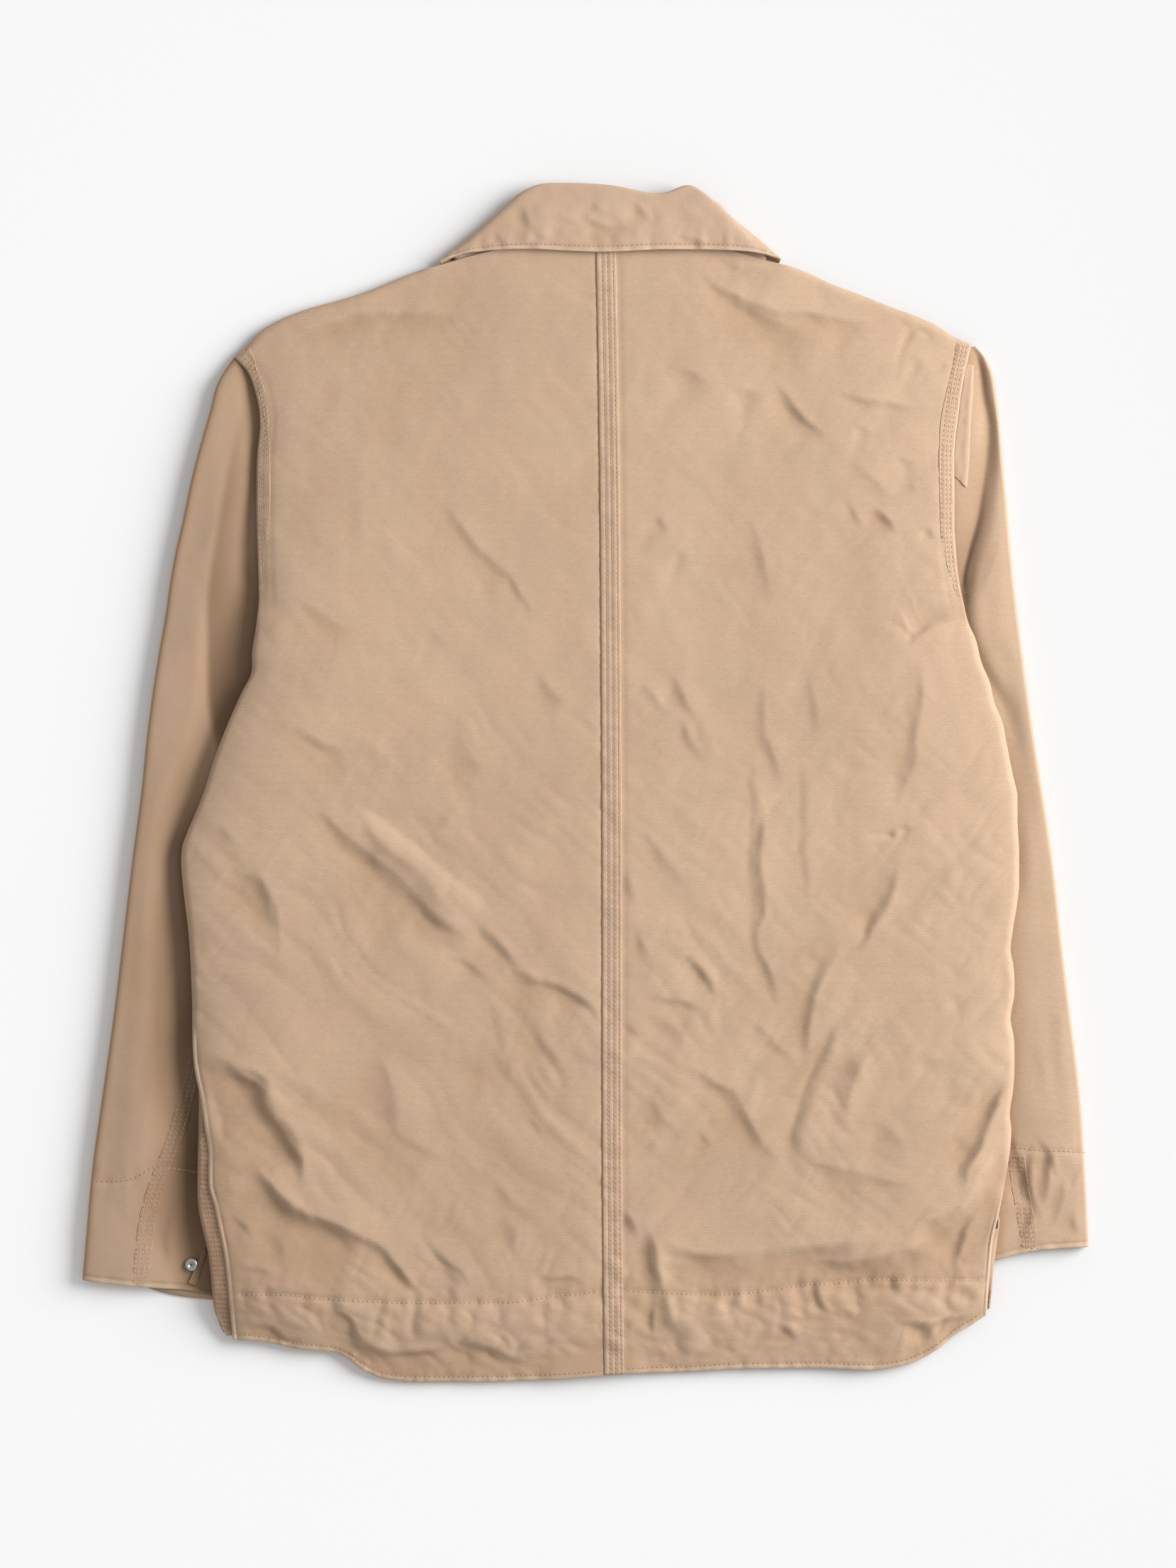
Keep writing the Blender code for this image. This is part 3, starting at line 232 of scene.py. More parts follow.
# Creases pressed into the cloth (negative) or raised: depth, half width, and then X and Y of each
# point of the path. A negative half width swaps the two banks.
BACK_CREASES = (
    # broad folds of the lower part
    (-1.9, 12, -250, -170, -234, -183, -212, -192, -204, -212, -186, -236, -181, -262),
    (-1.7, 12, -220, -243, -204, -264, -181, -280, -160, -290, -132, -302),
    (-1.1, 14, -215, -184, -180, -200, -145, -222, -95, -242),
    (-2.2, 5, -152, -292, -136, -299, -124, -314), (1.5, -9, -156, -8, -122, -34, -90, -60, -56, -88),
    (-1.3, 5, -112, -76, -92, -92, -74, -102), (-1.7, 13, -158, -22, -130, -44, -105, -66, -82, -90),
    (-1.3, 11, -232, -42, -212, -66, -203, -100), (-1.2, 12, -140, -168, -128, -200, -124, -240),
    (-2, 6, -52, -118, -36, -128, -20, -132), (-1.8, 7, -104, -354, -82, -362, -58, -371),
    (-1.9, 8, 36, -282, 44, -300, 48, -325, 56, -350, 70, -366),
    (-1.7, 10, 186, -168, 173, -190, 167, -212, 172, -232),
    (-2, 11, 270, -228, 254, -262, 232, -292, 195, -308, 140, -314),
    (-1.4, 14, 205, -298, 150, -306, 100, -310, 50, -306),
    # left half, from the shoulder down
    (-1.5, 4.5, -198, 292, -172, 298, -146, 303, -112, 305, -80, 302),
    (-0.4, 8, -158, 285, -162, 250, -172, 218), (-0.4, 8, -150, 200, -148, 170, -148, 140),
    (-0.4, 7, -200, 172, -180, 158, -165, 150), (-0.4, 9, -130, 275, -100, 265),
    (-1.1, 6, -95, 185, -80, 165, -68, 150, -50, 135, -38, 115, -35, 100),
    (-1, 6, -190, 122, -178, 112, -162, 103, -146, 100), (-0.6, 5, -108, 100, -97, 97, -87, 87),
    (-1, 5, -34, 72, -22, 58, -12, 47), (-1, 8, -90, 33, -75, 15, -62, 0),
    (-1.3, 6, -192, 42, -180, 32, -165, 24, -150, 22), (-0.7, 8, -145, 35, -140, 22, -125, 15),
    (-0.6, 6, -140, 0, -110, -25), (-0.8, 8, -92, -15, -88, -32),
    (-1.5, 6.5, -180, -12, -160, -30, -140, -48, -115, -70, -90, -90, -78, -98),
    (-1.5, 6, -75, -88, -60, -98, -50, -112, -42, -124),
    (-2.2, 4, -40, -126, -20, -130, 0, -141, 9, -153), (-0.7, 4, -240, -24, -226, -40),
    (-1.3, 7, -234, -50, -220, -60, -207, -72, -200, -90, -198, -120),
    (-1, 3, -95, -110, -80, -115, -68, -125, -60, -130), (0.8, 5, -65, -135, -58, -160, -50, -185),
    (-1, 10, -50, -175, -55, -205), (-0.9, 5, -35, -148, -25, -170, -15, -188, -5, -196),
    (-0.5, 5, -140, -165, -133, -180, -128, -200, -126, -244),
    (-2.2, 6, -240, -172, -225, -188, -212, -198, -205, -215, -193, -232, -184, -245, -183, -265),
    (-1.2, 5, -222, -180, -210, -190, -200, -200), (1.6, -8, -246, -188, -240, -210, -236, -238),
    (-2.4, 6.5, -215, -246, -205, -262, -190, -275, -172, -285, -150, -291, -138, -296),
    (-2.2, 4, -133, -297, -125, -312, -115, -323, -107, -330),
    (-1.5, 4, -103, -297, -94, -308, -82, -315, -70, -328), (-0.9, 3, -96, -314, -85, -320, -78, -327),
    (-0.7, 3, -42, -215, -30, -222, -22, -227), (-1, 6, -62, -255, -50, -270, -40, -278, -25, -278),
    (-1, 8, -55, -275, -42, -300), (-1.5, 3.5, -35, -318, -22, -322, -8, -321, 0, -327),
    (-1.1, 4, -232, -276, -222, -284, -216, -298), (-1.1, 4, -228, -312, -208, -315, -203, -322),
    (-0.9, 3, -225, -328, -210, -333), (-0.9, 5, -210, -290, -198, -300, -192, -315),
    (-2.4, 4, -168, -336, -155, -346, -147, -360, -140, -367, -115, -369, -85, -364),
    (-2.2, 4, -86, -352, -75, -361, -58, -370, -38, -379),
    (-1.8, 3.5, -222, -351, -203, -352, -194, -360, -180, -362),
    (-0.9, 3, -180, -365, -160, -367, -148, -374, -140, -380),
    # right half, from the shoulder down
    (-1.4, 5.5, 72, 334, 86, 322, 104, 311, 124, 306, 152, 303, 190, 297),
    (-1.2, 6, 78, 319, 96, 310, 114, 302, 132, 294, 148, 285), (-1.2, 5, 82, 343, 100, 334, 122, 330),
    (-0.8, 5, 205, 298, 215, 295), (-0.8, 4, 225, 293, 222, 287), (-0.8, 5, 210, 278, 222, 270),
    (-0.8, 4, 232, 272, 235, 266), (-1, 5, 55, 272, 70, 264, 82, 258),
    (-1, 5, 90, 256, 105, 254, 118, 250), (-1.8, 4.5, 122, 262, 130, 250, 142, 237, 158, 222),
    (-1.5, 3.5, 155, 255, 168, 250, 185, 247, 200, 245, 218, 243), (-0.8, 4, 172, 232, 188, 227),
    (-0.7, 4, 170, 215, 180, 200, 195, 188, 205, 182), (-0.7, 4, 200, 212, 215, 208),
    (-0.7, 4, 208, 198, 214, 186), (-1.6, 4, 186, 182, 193, 170, 202, 160),
    (-1, 3, 213, 164, 222, 164, 226, 157), (-0.8, 3.5, 170, 185, 176, 172, 182, 162),
    (-0.8, 6, 100, 178, 108, 165, 115, 140, 120, 115), (-0.8, 4, 45, 175, 55, 162),
    (-0.7, 4, 55, 152, 68, 148), (-1.7, -3.5, 210, 84, 214, 95, 226, 101, 243, 106),
    (-1.2, 5, 48, 72, 60, 62, 66, 50, 72, 38), (-1, 4, 34, 68, 45, 52, 55, 44),
    (-1, 4, 60, 45, 68, 28, 76, 15), (0.7, 5, 68, 48, 76, 30, 84, 16),
    (-1, 5, 114, 70, 114, 40, 118, 25, 126, 5, 130, -8),
    (-1.1, 5, 115, -10, 114, -50, 114, -80, 112, -105, 118, -120, 124, -135, 128, -150),
    (0.8, 5, 108, 20, 108, -60, 108, -100), (0.7, 5, 140, 20, 142, -80),
    (-0.8, 6, 142, 75, 148, 50, 150, 25), (-1, 6, 218, 80, 216, 50, 212, 20, 206, 0, 202, -20),
    (-1.5, 3, 200, -30, 200, -38), (-1, 3, 203, -26, 212, -30),
    (-1.8, 5, 205, -50, 198, -68, 190, -85, 182, -100, 176, -115),
    (-1.6, 6, 165, -100, 158, -118, 148, -138, 143, -160, 142, -185),
    (-1.6, 3.5, 62, -110, 75, -122, 83, -133, 88, -142),
    (-1.3, 4, 30, -138, 55, -141, 70, -143, 83, -150), (-1, 5, 35, -150, 55, -158, 68, -168),
    (-0.9, 4, 25, -155, 35, -165),
    (-1.5, 7, 60, -180, 75, -190, 95, -202, 102, -215, 115, -235, 130, -245),
    (-1, 6, 103, -150, 115, -160, 130, -175, 140, -190), (-1, 5, 40, -200, 50, -220, 62, -228),
    (-0.9, 4, 72, -225, 85, -235), (-1, 4, 25, -55, 30, -70, 34, -80),
    (-1, 6, 36, -25, 45, -42, 58, -60, 70, -72), (-1, 4, 30, -95, 38, -108, 46, -114),
    (-1, 8, 165, -165, 175, -185, 180, -200), (-1, 8, 180, -218, 200, -230, 212, -245),
    (-1.3, 7, 136, -243, 160, -252, 180, -255, 200, -260, 212, -266),
    (1.5, 8, 165, -150, 148, -190, 138, -220, 134, -250),
    (-2.2, 6, 271, -188, 266, -208, 258, -228, 248, -248, 243, -268),
    (-1.6, 6, 243, -268, 230, -280, 215, -288, 200, -297),
    (-1.8, 6, 43, -297, 60, -303, 80, -308, 103, -307),
    (-1.5, 6, 105, -305, 130, -303, 160, -300, 180, -295), (-1, 5, 45, -312, 75, -314),
    (-1.6, 4, 24, -275, 30, -285, 35, -300), (-1.3, 4, 45, -292, 43, -312, 50, -325),
    (-2.2, 4.5, 258, -272, 248, -285, 243, -300, 240, -312, 238, -322),
    (-1.6, 3.5, 44, -334, 43, -350, 43, -362), (-1.8, 3.5, 149, -322, 152, -335, 160, -345),
    (-2, 3.5, 125, -348, 132, -355, 140, -362), (-1, 5, 98, -360, 125, -350),
    (-1.8, 3.5, 197, -340, 204, -349, 215, -352, 235, -348, 258, -346),
    (-1.2, 4, 228, -350, 222, -360, 215, -368), (-1, 7, 62, -362, 66, -375, 72, -378),
    (-0.6, 5, 210, -178, 240, -178), (-0.6, 5, 228, -138, 250, -140),
)
# Puckers across the stitched line of the hem facing: x, then the Y of each end, and depth
PUCKERS = (
    (-205, -325, -345, 0.9), (-183, -330, -350, 0.9), (-160, -328, -342, 0.6), (-135, -330, -362, 1.4),
    (-112, -340, -360, 0.9), (-90, -325, -352, 1.5), (-75, -330, -345, 0.8), (-58, -335, -352, 1.3),
    (-38, -328, -342, 0.5), (-15, -335, -350, 0.9), (30, -326, -342, 0.7), (60, -327, -345, 0.8),
    (78, -328, -344, 0.7), (95, -328, -342, 0.7), (112, -330, -340, 0.9), (138, -330, -345, 0.9),
    (175, -325, -335, 0.8), (199, -320, -332, 1.2), (210, -322, -335, 0.8), (220, -320, -333, 0.7),
    (233, -320, -340, 1.3), (245, -318, -334, 0.8),
)
FACING_LINE = (
    # x, y
    (-229, -331), (-200, -331), (-170, -334), (-110, -337), (-50, -337), (-20, -333), (0, -331),
    (12, -329), (40, -330.5), (80, -332), (115, -330), (140, -326), (170, -324), (190, -322),
    (258, -322),
)
SLEEVE_CREASES = {
    LEFT: (
        (-0.4, 8, -276, -120, -280, -160, -288, -220, -296, -262),
        (-1.1, 3.5, -268, -268, -270, -285, -272, -300, -272.5, -322),
        (-0.4, 4, -281, -312, -281, -326), (-0.5, 6, -308, -235, -300, -262, -302, -300),
        (-0.5, 2.5, -256, -318, -263, -321), (-0.4, 4, -318, -240, -314, -262),
        (-0.3, 6, -290, -200, -298, -225), (-0.3, 6, -238, 215, -243, 170, -250, 120),
    ),
    RIGHT: (
        (-1.9, 5, 304, -236, 299, -256, 296, -278), (-2, 4, 289, -238, 288, -258, 290, -277),
        (-1.3, 4, 275, -222, 282, -245, 290, -270, 298, -292),
        (-1.2, 4.5, 313, -252, 306, -276, 301, -292), (-1, 4, 323, -248, 314, -266),
        (-1.1, 4, 290, -225, 300, -240, 310, -262), (-1.2, 4, 283, -302, 288, -288, 291, -270),
        (-1.1, 4, 316, -276, 319, -298), (-0.4, 8, 300, -120, 306, -160, 308, -200),
        (-0.4, 6, 290, -150, 296, -185, 300, -215), (-0.6, 5, 268, 165, 262, 140, 256, 118),
    ),
}
# Folds of the cloth underneath, which stand up from what it rests on
FRONT_CREASES = {
    LEFT: (
        (-1.5, 8, -30, 246, -66, 228, -104, 220, -150, 226),
        (-1.2, 7, -178, 150, -146, 118, -112, 98, -64, 92),
        (-1.7, 8, -104, 52, -88, 18, -82, -20, -92, -62), (-1.2, 9, -44, -4, -54, -50, -46, -104),
        (-1.8, 8, -214, -306, -168, -322, -128, -324, -84, -350),
        (-1.3, 7, -58, -282, -46, -316, -52, -352),
    ),
    RIGHT: (
        (-1.3, 8, 44, 262, 72, 236, 112, 222, 140, 226), (-1.7, 8, 48, 120, 84, 112, 120, 86, 146, 48),
        (-1.2, 7, 112, 160, 150, 148, 188, 158), (-1.5, 9, 60, 30, 72, -12, 66, -58, 78, -88),
        (-1.8, 7, 70, -338, 112, -326, 150, -332, 206, -316), (-1.2, 6, 46, -250, 56, -290, 50, -322),
    ),
}
UNDER_CREASES = {
    LEFT: (
        (-1.6, 7, -296, -262, -266, -240, -226, -232, -204, -240),
        (-1.3, 8, -286, -132, -262, -150, -238, -182),
        (-1.8, 8, -150, -22, -182, 8, -218, 22, -256, 16), (-1.2, 7, -232, 152, -222, 112, -198, 82),
    ),
    RIGHT: (
        (-1.7, 7, 206, -262, 236, -250, 276, -256, 300, -246),
        (-1.3, 8, 220, -160, 246, -128, 276, -110), (-1.8, 8, 160, 2, 192, -14, 232, -10, 262, -28),
        (-1.2, 7, 256, 130, 232, 98, 202, 86),
    ),
}
COLLAR_CREASES = (
    (-0.9, 3.5, -58, 360, -55, 352, -50, 347), (-0.5, 4, -75, 350, -66, 356),
    (-0.7, 5, -22, 372, -12, 364, 0, 362), (-0.9, 3, 5, 380, 8, 373, 16, 371),
    (0.6, 6, -35, 380, -30, 365, -34, 352), (-0.8, 5, 18, 372, 22, 362, 30, 358),
    (-1, 3.5, 58, 356, 70, 352, 78, 346), (0.7, 6, 40, 378, 46, 366, 44, 352),
    (-0.6, 6, 60, 380, 66, 370, 78, 366), (-0.5, 5, 88, 362, 98, 354, 108, 350),
    (-0.7, 4, -45, 350, -36, 349, -28, 347), (-0.6, 5, -60, 366, -45, 372, -30, 375),
    (-0.6, 3, 28, 352, 34, 349), (-0.9, 4, -42, 378, -38, 366, -31, 355), (-0.7, 3, -33, 358, -26, 350),
    (-1.2, 5, -4, 370, 8, 362, 26, 360), (-1, 4, 30, 378, 36, 370, 42, 363),
    (-0.8, 3, 64, 358, 72, 353, 82, 349), (-0.8, 3, -24, 350, -10, 348),
)

# Stations round the collar: X, Y and height of its rim, its edge and its seam
COLLAR = (
    (-4, 328, 2.38, -34, 266, 1.03, -4, 310, 3.6), (-28, 338, 2.38, -66, 284, 1.03, -42, 318, 3.6),
    (-45, 362, 2.3, -94, 322, 1.03, -80, 334, 3.5), (-48, 372, 3, -92.5, 336.8, 2, -84, 338, 4),
    (-48.6, 373.8, 4.6, -94.2, 337.4, 4.4, -85, 339.2, 4.8),
    (-47.4, 375.4, 6.4, -93.2, 338.2, 7.2, -83, 341.6, 6),
    (-36, 384.5, 8.4, -76, 344, 9.6, -66, 348.5, 7.6), (-20, 387, 9.2, -40, 346.2, 10.6, -35, 353, 8.3),
    (15, 385.5, 9.9, 10, 344.3, 11, 12, 356, 8.6), (47, 380, 9.9, 52, 345.8, 11, 52, 355.5, 8.6),
    (67, 385.5, 9.9, 84, 345.6, 11, 86, 351.5, 8.6), (83, 376, 9.2, 108, 344.2, 10.9, 104, 346.5, 8.4),
    (88.4, 370, 7.6, 125, 340.6, 8.8, 115, 343, 7.4),
    (89, 367.6, 5.4, 126.5, 339.3, 5.4, 117, 341, 5.8), (86, 363, 3.4, 126, 337.5, 2, 116, 338.5, 4.4),
    (80, 356, 2.4, 122, 324, 1.03, 108, 335, 3.7), (58, 338, 2.38, 98, 286, 1.03, 72, 319, 3.6),
    (30, 328, 2.38, 60, 266, 1.03, 26, 308, 3.6),
)

# Grids: distances from an edge at which its rows stand, and the even pitch between
EDGE_STEPS = (0, 0.05, 0.2, 0.45, 0.8, 1.3, 1.9, 2.6, 3.5, 4.6)
SEAM_STEPS = (0, 0.5, 1.0, 1.6, 2.4)
HEM_STEPS = (0, 0.1, 0.4, 0.9, 1.6, 2.4, 3.2, 4.0, 5.0, 6.2)
PITCH = 1.58
SLEEVE_SHOWN, SLEEVE_HIDDEN, SLEEVE_ROWS = 48, 12, 360
TURN_STEPS = 8
COLLAR_STEPS = 18      # between two stations
EDGE_IN = 0.45
SHOULDER_ROLL = 5.0
STITCH = 3.1
STITCH_LENGTH = 2.0
THREAD = 0.26

# How a crease lies: the side that its steep bank is on; the reach of its long bank, its steep one
# and its crest's far side, in widths; its crest's height, as a share of its depth; and its depth
LIGHT_SIDE = (0.8, 0.6)
TAIL = 2.6
BANK = 1.3
CREST_REACH = 2.4
CREST = 0.34
CREASE_DEPTH = 0.9

# Lengths that the rows and columns of the body's grids are laid out along, and the front's pitch
BACK_SPAN, FRONT_SPAN, BODY_SPAN = 245, 265, 690
FRONT_PITCH = (4.4, 4.6)
UNDER_ROWS, UNDER_COLUMNS = 190, 44
# Rows of stitches on the seams, from one edge; the felled side seams from their lower end
CENTRE_ROWS, SIDE_ROWS, SLEEVE_SEAM_ROWS = (3.9, 7.5, 11.2), (2.0, 4.6, 7.2), (1.6, 5.2, 8.8)
SIDE_SEAM_LOW = {LEFT: -357, RIGHT: -341}
SIDE_SEAM_COUNT = {LEFT: 190, RIGHT: 60}
# Painted shade of the side seams, which lie under the back's edge
SIDE_SEAM_SHADE = {LEFT: 0.74, RIGHT: 0.95}
# Share of the room above it that a hidden fold may fill, and how much darker painted shade makes
# each millimetre of its height; the height that rays are cast down from
FOLD_ROOM = 0.8
HIDDEN_SHADE = 0.035
RAY_FROM = 60.0

# Places across and up the front's plan that a pocket spans, as shares of it, and points there
POCKET_ACROSS, POCKET_UP = (0.2, 0.68, 40), (0.131, 0.392, 60)
# Needle holes at the stitches' ends, drawn as dark discs of painted shade; the collar's row from its
# edge, and the front buttons
HOLE_RADIUS, HOLE_RISE = 0.3, 0.34
COLLAR_ROW = 3.6
BUTTON_RADIUS = 8.5

# Flat cuts in metres; a panel's area in square metres, or None where it fills its rectangle
PANEL_CUT = {
    "back": ((0.275, 0.765), 0.187),
    "front": ((0.300, 0.740), 0.190),
    "pocket": ((0.15, 0.21), None),
    "upper": ((0.190, 0.625), 0.088),
    "under": ((0.185, 0.605), 0.084),
    "collar": ((0.460, 0.085), 0.031),
    "vent": ((0.012, 0.022), 0.0001),
}
SEAM_CUT = {
    "centre_back_seam": (0.013, 0.735),
    "side_seam_left": (0.016, 0.19),
    "side_seam_right": (0.012, 0.06),
    "armhole_seam_left": (0.010, 0.150),
    "armhole_seam_right": (0.010, 0.150),
    "sleeve_seam_left": (0.011, 0.13),
    "sleeve_seam_right": (0.011, 0.06),
    "armhole_tab_right": (0.011, 0.08),
}

# Colours of worn thread, and of the cloth's painted shade as shares of the cloth's own
WORN_COLOUR = (0.60, 0.465, 0.35)
PAINTED_SHADE_TINT = (1.02, 0.86, 0.70)

# Camera in millimetres and lamp in metres; the floor; and the stretch of X behind the lamp, in
# metres, over which the floor's share of its light ends
CAMERA_AT = (1.6, -0.7, 2411.0)
LENS = 85.0
KEY_AT = (1.75, 0.55, 1.00)
KEY_SIZE = 1.6
KEY_POWER = 72.0
KEY_REACH = 0.06578
KEY_FALL = 2.614
SKY_STRENGTH = 0.50
FLOOR_LEVEL = 0.945
FLOOR_AT, FLOOR_SIZE = -0.35, 6000
BEHIND = (1.3, 2.35)


def spline(rows, key=0, value=1):
    """Smooth curve through a table's rows, flat where the values turn back."""
    keys = np.array([row[key] for row in rows], float)
    values = np.array([row[value] for row in rows], float)
    if keys[0] > keys[-1]:
        keys, values = keys[::-1], values[::-1]
    span = np.diff(keys)
    rise = np.diff(values) / span
    inner = (rise[1:] * span[:-1] + rise[:-1] * span[1:]) / (span[1:] + span[:-1])
    inner[rise[1:] * rise[:-1] <= 0] = 0
    slope = np.concatenate(([rise[0]], inner, [rise[-1]]))

    def at(place):
        place = np.clip(place, keys[0], keys[-1])
        i = np.clip(np.searchsorted(keys, place, side="right") - 1, 0, len(span) - 1)
        h = span[i]
        s = (place - keys[i]) / h
        start = (2 * s + 1) * (1 - s) ** 2 * values[i] + s * (1 - s) ** 2 * h * slope[i]
        end = s * s * (3 - 2 * s) * values[i + 1] + s * s * (s - 1) * h * slope[i + 1]
        return start + end

    return at


def smooth(value):
    value = np.clip(value, 0, 1)
    return value * value * (3 - 2 * value)


def between(low, high, t):
    return low + (high - low) * t


def bell(distance, width=1.0):
    """1 in the middle, and less to both sides."""
    return np.exp(-(distance / width) ** 2)


def higher(a, b, blend=0.5):
    """The larger of two heights, with a soft change from one to the other."""
    return (a + b + np.sqrt((a - b) ** 2 + blend * blend)) / 2


def lattice(i, j, seed):
    n = (i * 374761393 + j * 668265263 + seed * 974634777) & 0xFFFFFFFF
    n = ((n ^ (n >> 13)) * 1274126177) & 0xFFFFFFFF
    return ((n ^ (n >> 16)) & 0xFFFF) / 32767.5 - 1


def noise(x, y, seed):
    """Smooth noise between about -1 and 1, one swing for each unit of x and y."""
    x, y = np.broadcast_arrays(np.asarray(x, float), np.asarray(y, float))
    i, j = np.floor(x).astype(np.int64), np.floor(y).astype(np.int64)
    u, v = smooth(x - i), smooth(y - j)
    low = between(lattice(i, j, seed), lattice(i + 1, j, seed), u)
    high = between(lattice(i, j + 1, seed), lattice(i + 1, j + 1, seed), u)
    return between(low, high, v)


def rounded(path, step=5.0):
    """The path's corners made round, as points about a step apart."""
    path = np.array(path, float)
    ends = np.vstack([2 * path[0] - path[1], path, 2 * path[-1] - path[-2]])
    points = []
    for a, b, c, d in zip(ends, ends[1:], ends[2:], ends[3:]):
        count = max(2, int(np.hypot(*(c - b)) / step))
        for t in np.arange(count) / count:
            points.append(0.5 * (2 * b + (c - a) * t + (2 * a - 5 * b + 4 * c - d) * t * t
                                 + (3 * b - a - 3 * c + d) * t ** 3))
    return np.array(points + [path[-1]])


def relief(x, y, creases, seed=0):
    """Height that the creases add. A crease has a long soft bank on one side and a steep one, up
    to a sharp crest, on the side that the light comes from, as in cloth that was pressed. It
    fades out at both ends; its line wanders a little, and its depth and width vary. A negative
    width swaps the two banks."""
    wander_x = x + 1.6 * noise(x / 14, y / 14, seed + 1) + 0.5 * noise(x / 5, y / 5, seed + 2)
    wander_y = y + 1.6 * noise(x / 14, y / 14, seed + 3) + 0.5 * noise(x / 5, y / 5, seed + 4)
    total = np.zeros_like(x)
    for number, (deep, wide, *path) in enumerate(creases):
        path = rounded(np.reshape(path, (-1, 2)))
        reach = abs(wide) * 9 + 4
        (low_x, low_y), (high_x, high_y) = path.min(0) - reach, path.max(0) + reach
        near = (x > low_x) & (x < high_x) & (y > low_y) & (y < high_y)
        if not near.any():
            continue
        px, py = wander_x[near], wander_y[near]
        legs = np.diff(path, axis=0)
        lengths = np.hypot(*legs.T)
        along = np.concatenate(([0], np.cumsum(lengths)))
        nearest, place, beside = np.full_like(px, 1e9), np.zeros_like(px), np.zeros_like(px)
        for i, leg in enumerate(legs):
            dx, dy = px - path[i, 0], py - path[i, 1]
            t = np.clip((dx * leg[0] + dy * leg[1]) / (leg @ leg), 0, 1)
            away = np.hypot(dx - t * leg[0], dy - t * leg[1])
            closer = away < nearest
            nearest = np.where(closer, away, nearest)
            place = np.where(closer, along[i] + t * lengths[i], place)
            beside = np.where(closer, (leg[0] * dy - leg[1] * dx) / lengths[i], beside)
        whole = along[-1]
        run = path[-1] - path[0]
        lit = 1 if -run[1] * LIGHT_SIDE[0] + run[0] * LIGHT_SIDE[1] > 0 else -1
        lit = lit if (deep < 0) == (wide > 0) else -lit
        share = np.clip(place / whole, 0, 1)
        width = abs(wide) * (0.56 + 0.42 * np.sin(math.pi * share)) * (
            1 + 0.2 * noise(place / 17, number, 5))
        off = beside * lit / width + 1.0
        bank = 1 - (1 + CREST) * (1 - np.cos(math.pi / 2 * np.clip(off / BANK, 0, 1)))
        shape = np.where(off < 0, np.exp(-(np.sqrt(off * off + 0.36) - 0.6) / TAIL), bank)
        shape = np.where(off > BANK, -CREST * np.exp(-(off - BANK) / CREST_REACH), shape)
        fade = min(0.5 * whole, 30.0)
        taper = smooth(np.minimum(place, whole - place) / fade)
        past = np.sqrt(np.maximum(nearest ** 2 - beside ** 2, 0))
        ends = bell(past, width)
        varied = 1 + 0.22 * noise(place / 12, number, 6)
        depth = math.copysign(abs(deep) ** 1.3, deep)
        total[near] += CREASE_DEPTH * depth * shape * taper * ends * varied
    return total


EDGE = {side: spline(BACK_EDGE[side]) for side in (LEFT, RIGHT)}
OUTLINE = {side: spline(SIDE_OUTLINE[side]) for side in (LEFT, RIGHT)}
HEM_LINE = spline(HEM)
TOP_LINE = spline(BACK_TOP)
NECK_LINE = spline(FRONT_NECK)
FACING = spline(FACING_LINE)
GROOVE_LINE, GROOVE_SHADE = spline(GROOVE), spline(GROOVE, value=2)
FOLD_LINE, FOLD_SHADE = spline(LONG_FOLD), spline(LONG_FOLD, value=2)
HOLLOW_LINE, HOLLOW_SHADE = spline(HOLLOW), spline(HOLLOW, value=2)
SHADE = {side: spline(SHADE_ROWS[side]) for side in (LEFT, RIGHT)}
SHADE_REACH = {side: spline(SHADE_ROWS[side], value=2) for side in (LEFT, RIGHT)}
INNER = {side: spline(SLEEVE[side], value=12) for side in (LEFT, RIGHT)}
LIFT = spline(((-385, 0.15), (-362, 0.35), (-335, 0.85), (-300, 1), (95, 1), (150, 0.75),
               (200, 0.45), (250, 0.25), (285, 0.05)))
CENTRE_SEAM = spline(((-385, 12), (-290, 11), (0, 10.3), (250, 8.3), (353, 6.5)))


def inside(side, x, y):
    return (EDGE[side](y) - x) * side


def front_height(x, y, side):
    height = FRONT_LEVEL + 0 * x
    for arm in (LEFT, RIGHT):
        over = (x - INNER[arm](np.minimum(y, 60))) * arm + STEP_START
        height = height + FRONT_STEP * LIFT(y) * smooth(1 + over / SLEEVE_STEP)
        height = height + FRONT_RISE * LIFT(y) * smooth(1 - inside(arm, x, y) / 90)
    away = np.abs(x - CENTRE_FRONT)
    placket = smooth((46 - away) / 24)
    collar = smooth((126 - np.abs(x - 14)) / 12) * smooth((y - 235) / 22)
    height = height + placket * (PLACKET_LEVEL - FRONT_LEVEL)
    height = np.maximum(height, FRONT_LEVEL + 1.05 * collar)
    if side == RIGHT:
        lap = smooth((CENTRE_FRONT + LAP + 24 - x) / 16) * smooth((x - CENTRE_FRONT + LAP + 30) / 16)
        height = height + lap * (LAYER + SLACK)
    return height


def crumple(x, y, slant, seed):
    """Soft crossing folds that run along one slant."""
    along, across = x * 0.8 - y * slant, x * slant + y * 0.8
    folds = np.abs(noise(along / 75, across / 24, seed))
    return folds + 0.4 * np.abs(noise(along / 30, across / 11, seed + 1))


